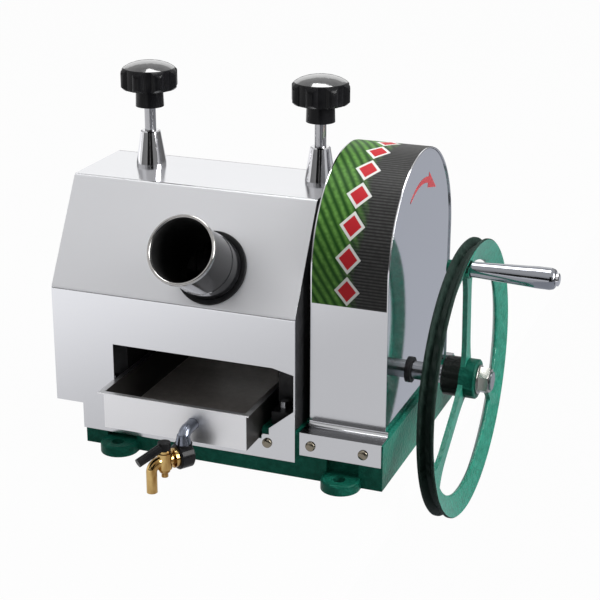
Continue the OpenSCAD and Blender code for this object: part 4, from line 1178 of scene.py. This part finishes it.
def arrow_outline():
    outer, inner = [], []
    for i in range(ARROW_STEPS + 1):
        turn = ARROW_TAIL + (ARROW_NECK - ARROW_TAIL) * i / ARROW_STEPS
        half = TAIL_HALF + TAIL_GROWS * i / ARROW_STEPS
        outer.append((ARROW_RADIUS + half, turn))
        inner.append((ARROW_RADIUS - half, turn))
    head = [(ARROW_RADIUS + ARROW_HEAD_HALF, ARROW_NECK), (ARROW_RADIUS, ARROW_TIP),
            (ARROW_RADIUS - ARROW_HEAD_HALF, ARROW_NECK)]
    rim = outer + head + inner[::-1]
    return [(r * math.cos(a), arch_middle + r * math.sin(a)) for r, a in rim]


def plate_prism(name, outline, x_low, x_high):
    shape = bmesh.new()
    low = [shape.verts.new((x_low, y, z)) for y, z in outline]
    high = [shape.verts.new((x_high, y, z)) for y, z in outline]
    shape.faces.new(low[::-1])
    shape.faces.new(high)
    for i in range(len(low)):
        j = (i + 1) % len(low)
        shape.faces.new((low[i], low[j], high[j], high[i]))
    bmesh.ops.recalc_face_normals(shape, faces=shape.faces)
    bmesh.ops.triangulate(shape, faces=shape.faces)
    mesh = bpy.data.meshes.new(name)
    shape.to_mesh(mesh)
    shape.free()
    return mesh


arrow_red = new_finish("arrow_red", (0.36, 0.025, 0.03), 0.0, 0.35)
roughness_from(arrow_red, noise_of(arrow_red, EVEN, scale=200, detail=4), 0.28, 0.42)
plate_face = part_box("housing_side_plate")[1].x
arrow_mesh = plate_prism("turning_arrow", arrow_outline(), plate_face, plate_face + ARROW_THICK)
arrow = new_piece("turning_arrow", arrow_mesh, arrow_red)
dress(arrow, "frame", "polished_sheet")
print("arrow corners", len(arrow_outline()))

# %% [markdown]
# The wheel's groove is painted a near black green as painted shade, the hub's green is darkened as painted shade and
# turns black on its inner half, and the root of the grip's spindle wears the green of the castings. Groove, hub and
# root are found by their distance from the axle or along it. The hub's faces run its whole length, so there the shader
# itself changes colour at a plane.

# %% Shaded groove, hub and spindle root
GROOVE_SHADE_BAND = 12 * MM
GROOVE_SIDE = 0.93
HUB_REACH = 22 * MM
HUB_PAINT = 1.5 * MM
PAINT_EDGE = 0.2 * MM
HUB_BLACK = (0.006, 0.008, 0.007)
wheel_low, wheel_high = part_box("crank_wheel")
wheel_middle = (wheel_low + wheel_high) / 2
wheel_rim = (wheel_high.y - wheel_low.y) / 2


def from_axle(face):
    return math.hypot(face.center.y - wheel_middle.y, face.center.z - wheel_middle.z)


def in_groove(face):
    return from_axle(face) > wheel_rim - GROOVE_SHADE_BAND and abs(face.normal.x) < GROOVE_SIDE


def on_hub(face):
    return from_axle(face) < HUB_REACH


def spindle_root(face):
    return face.center.x < wheel_middle.x


def black_behind(mat, plane):
    place = mat.node_tree.nodes.new("ShaderNodeTexCoord")
    split = mat.node_tree.nodes.new("ShaderNodeSeparateXYZ")
    mat.node_tree.links.new(place.outputs["Object"], split.inputs[0])
    paint = shader_of(mat).inputs["Base Color"]
    edge = spread(mat, split.outputs["X"], 0, 1, (plane - PAINT_EDGE, plane + PAINT_EDGE))
    mat.node_tree.links.new(mixed(mat, edge, HUB_BLACK, paint.links[0].from_socket), paint)
    return mat


# The groove's near black green is painted shade.
groove_shade = cast_skin("groove_painted_shade", (0.006, 0.016, 0.012), (0.012, 0.026, 0.020),
                   rough=(0.55, 0.7), metallic=0.0, shine=0.12)
# The hub's green is darkened to 0.42 as painted shade, and black_behind turns it black on its inner half.
hub_shaded_enamel = black_behind(green_enamel("hub_shaded_enamel", shine=0.06, coat=0.0, shade_factor=0.42), wheel_middle.x + HUB_PAINT)
print("rubbed faces", second_finish("crank_wheel_soft", groove_shade, in_groove),
      "on hub", second_finish("crank_wheel_soft", hub_shaded_enamel, on_hub),
      "on spindle", second_finish("grip_spindle", base_enamel, spindle_root))

# %% Last update
bpy.context.view_layer.update()
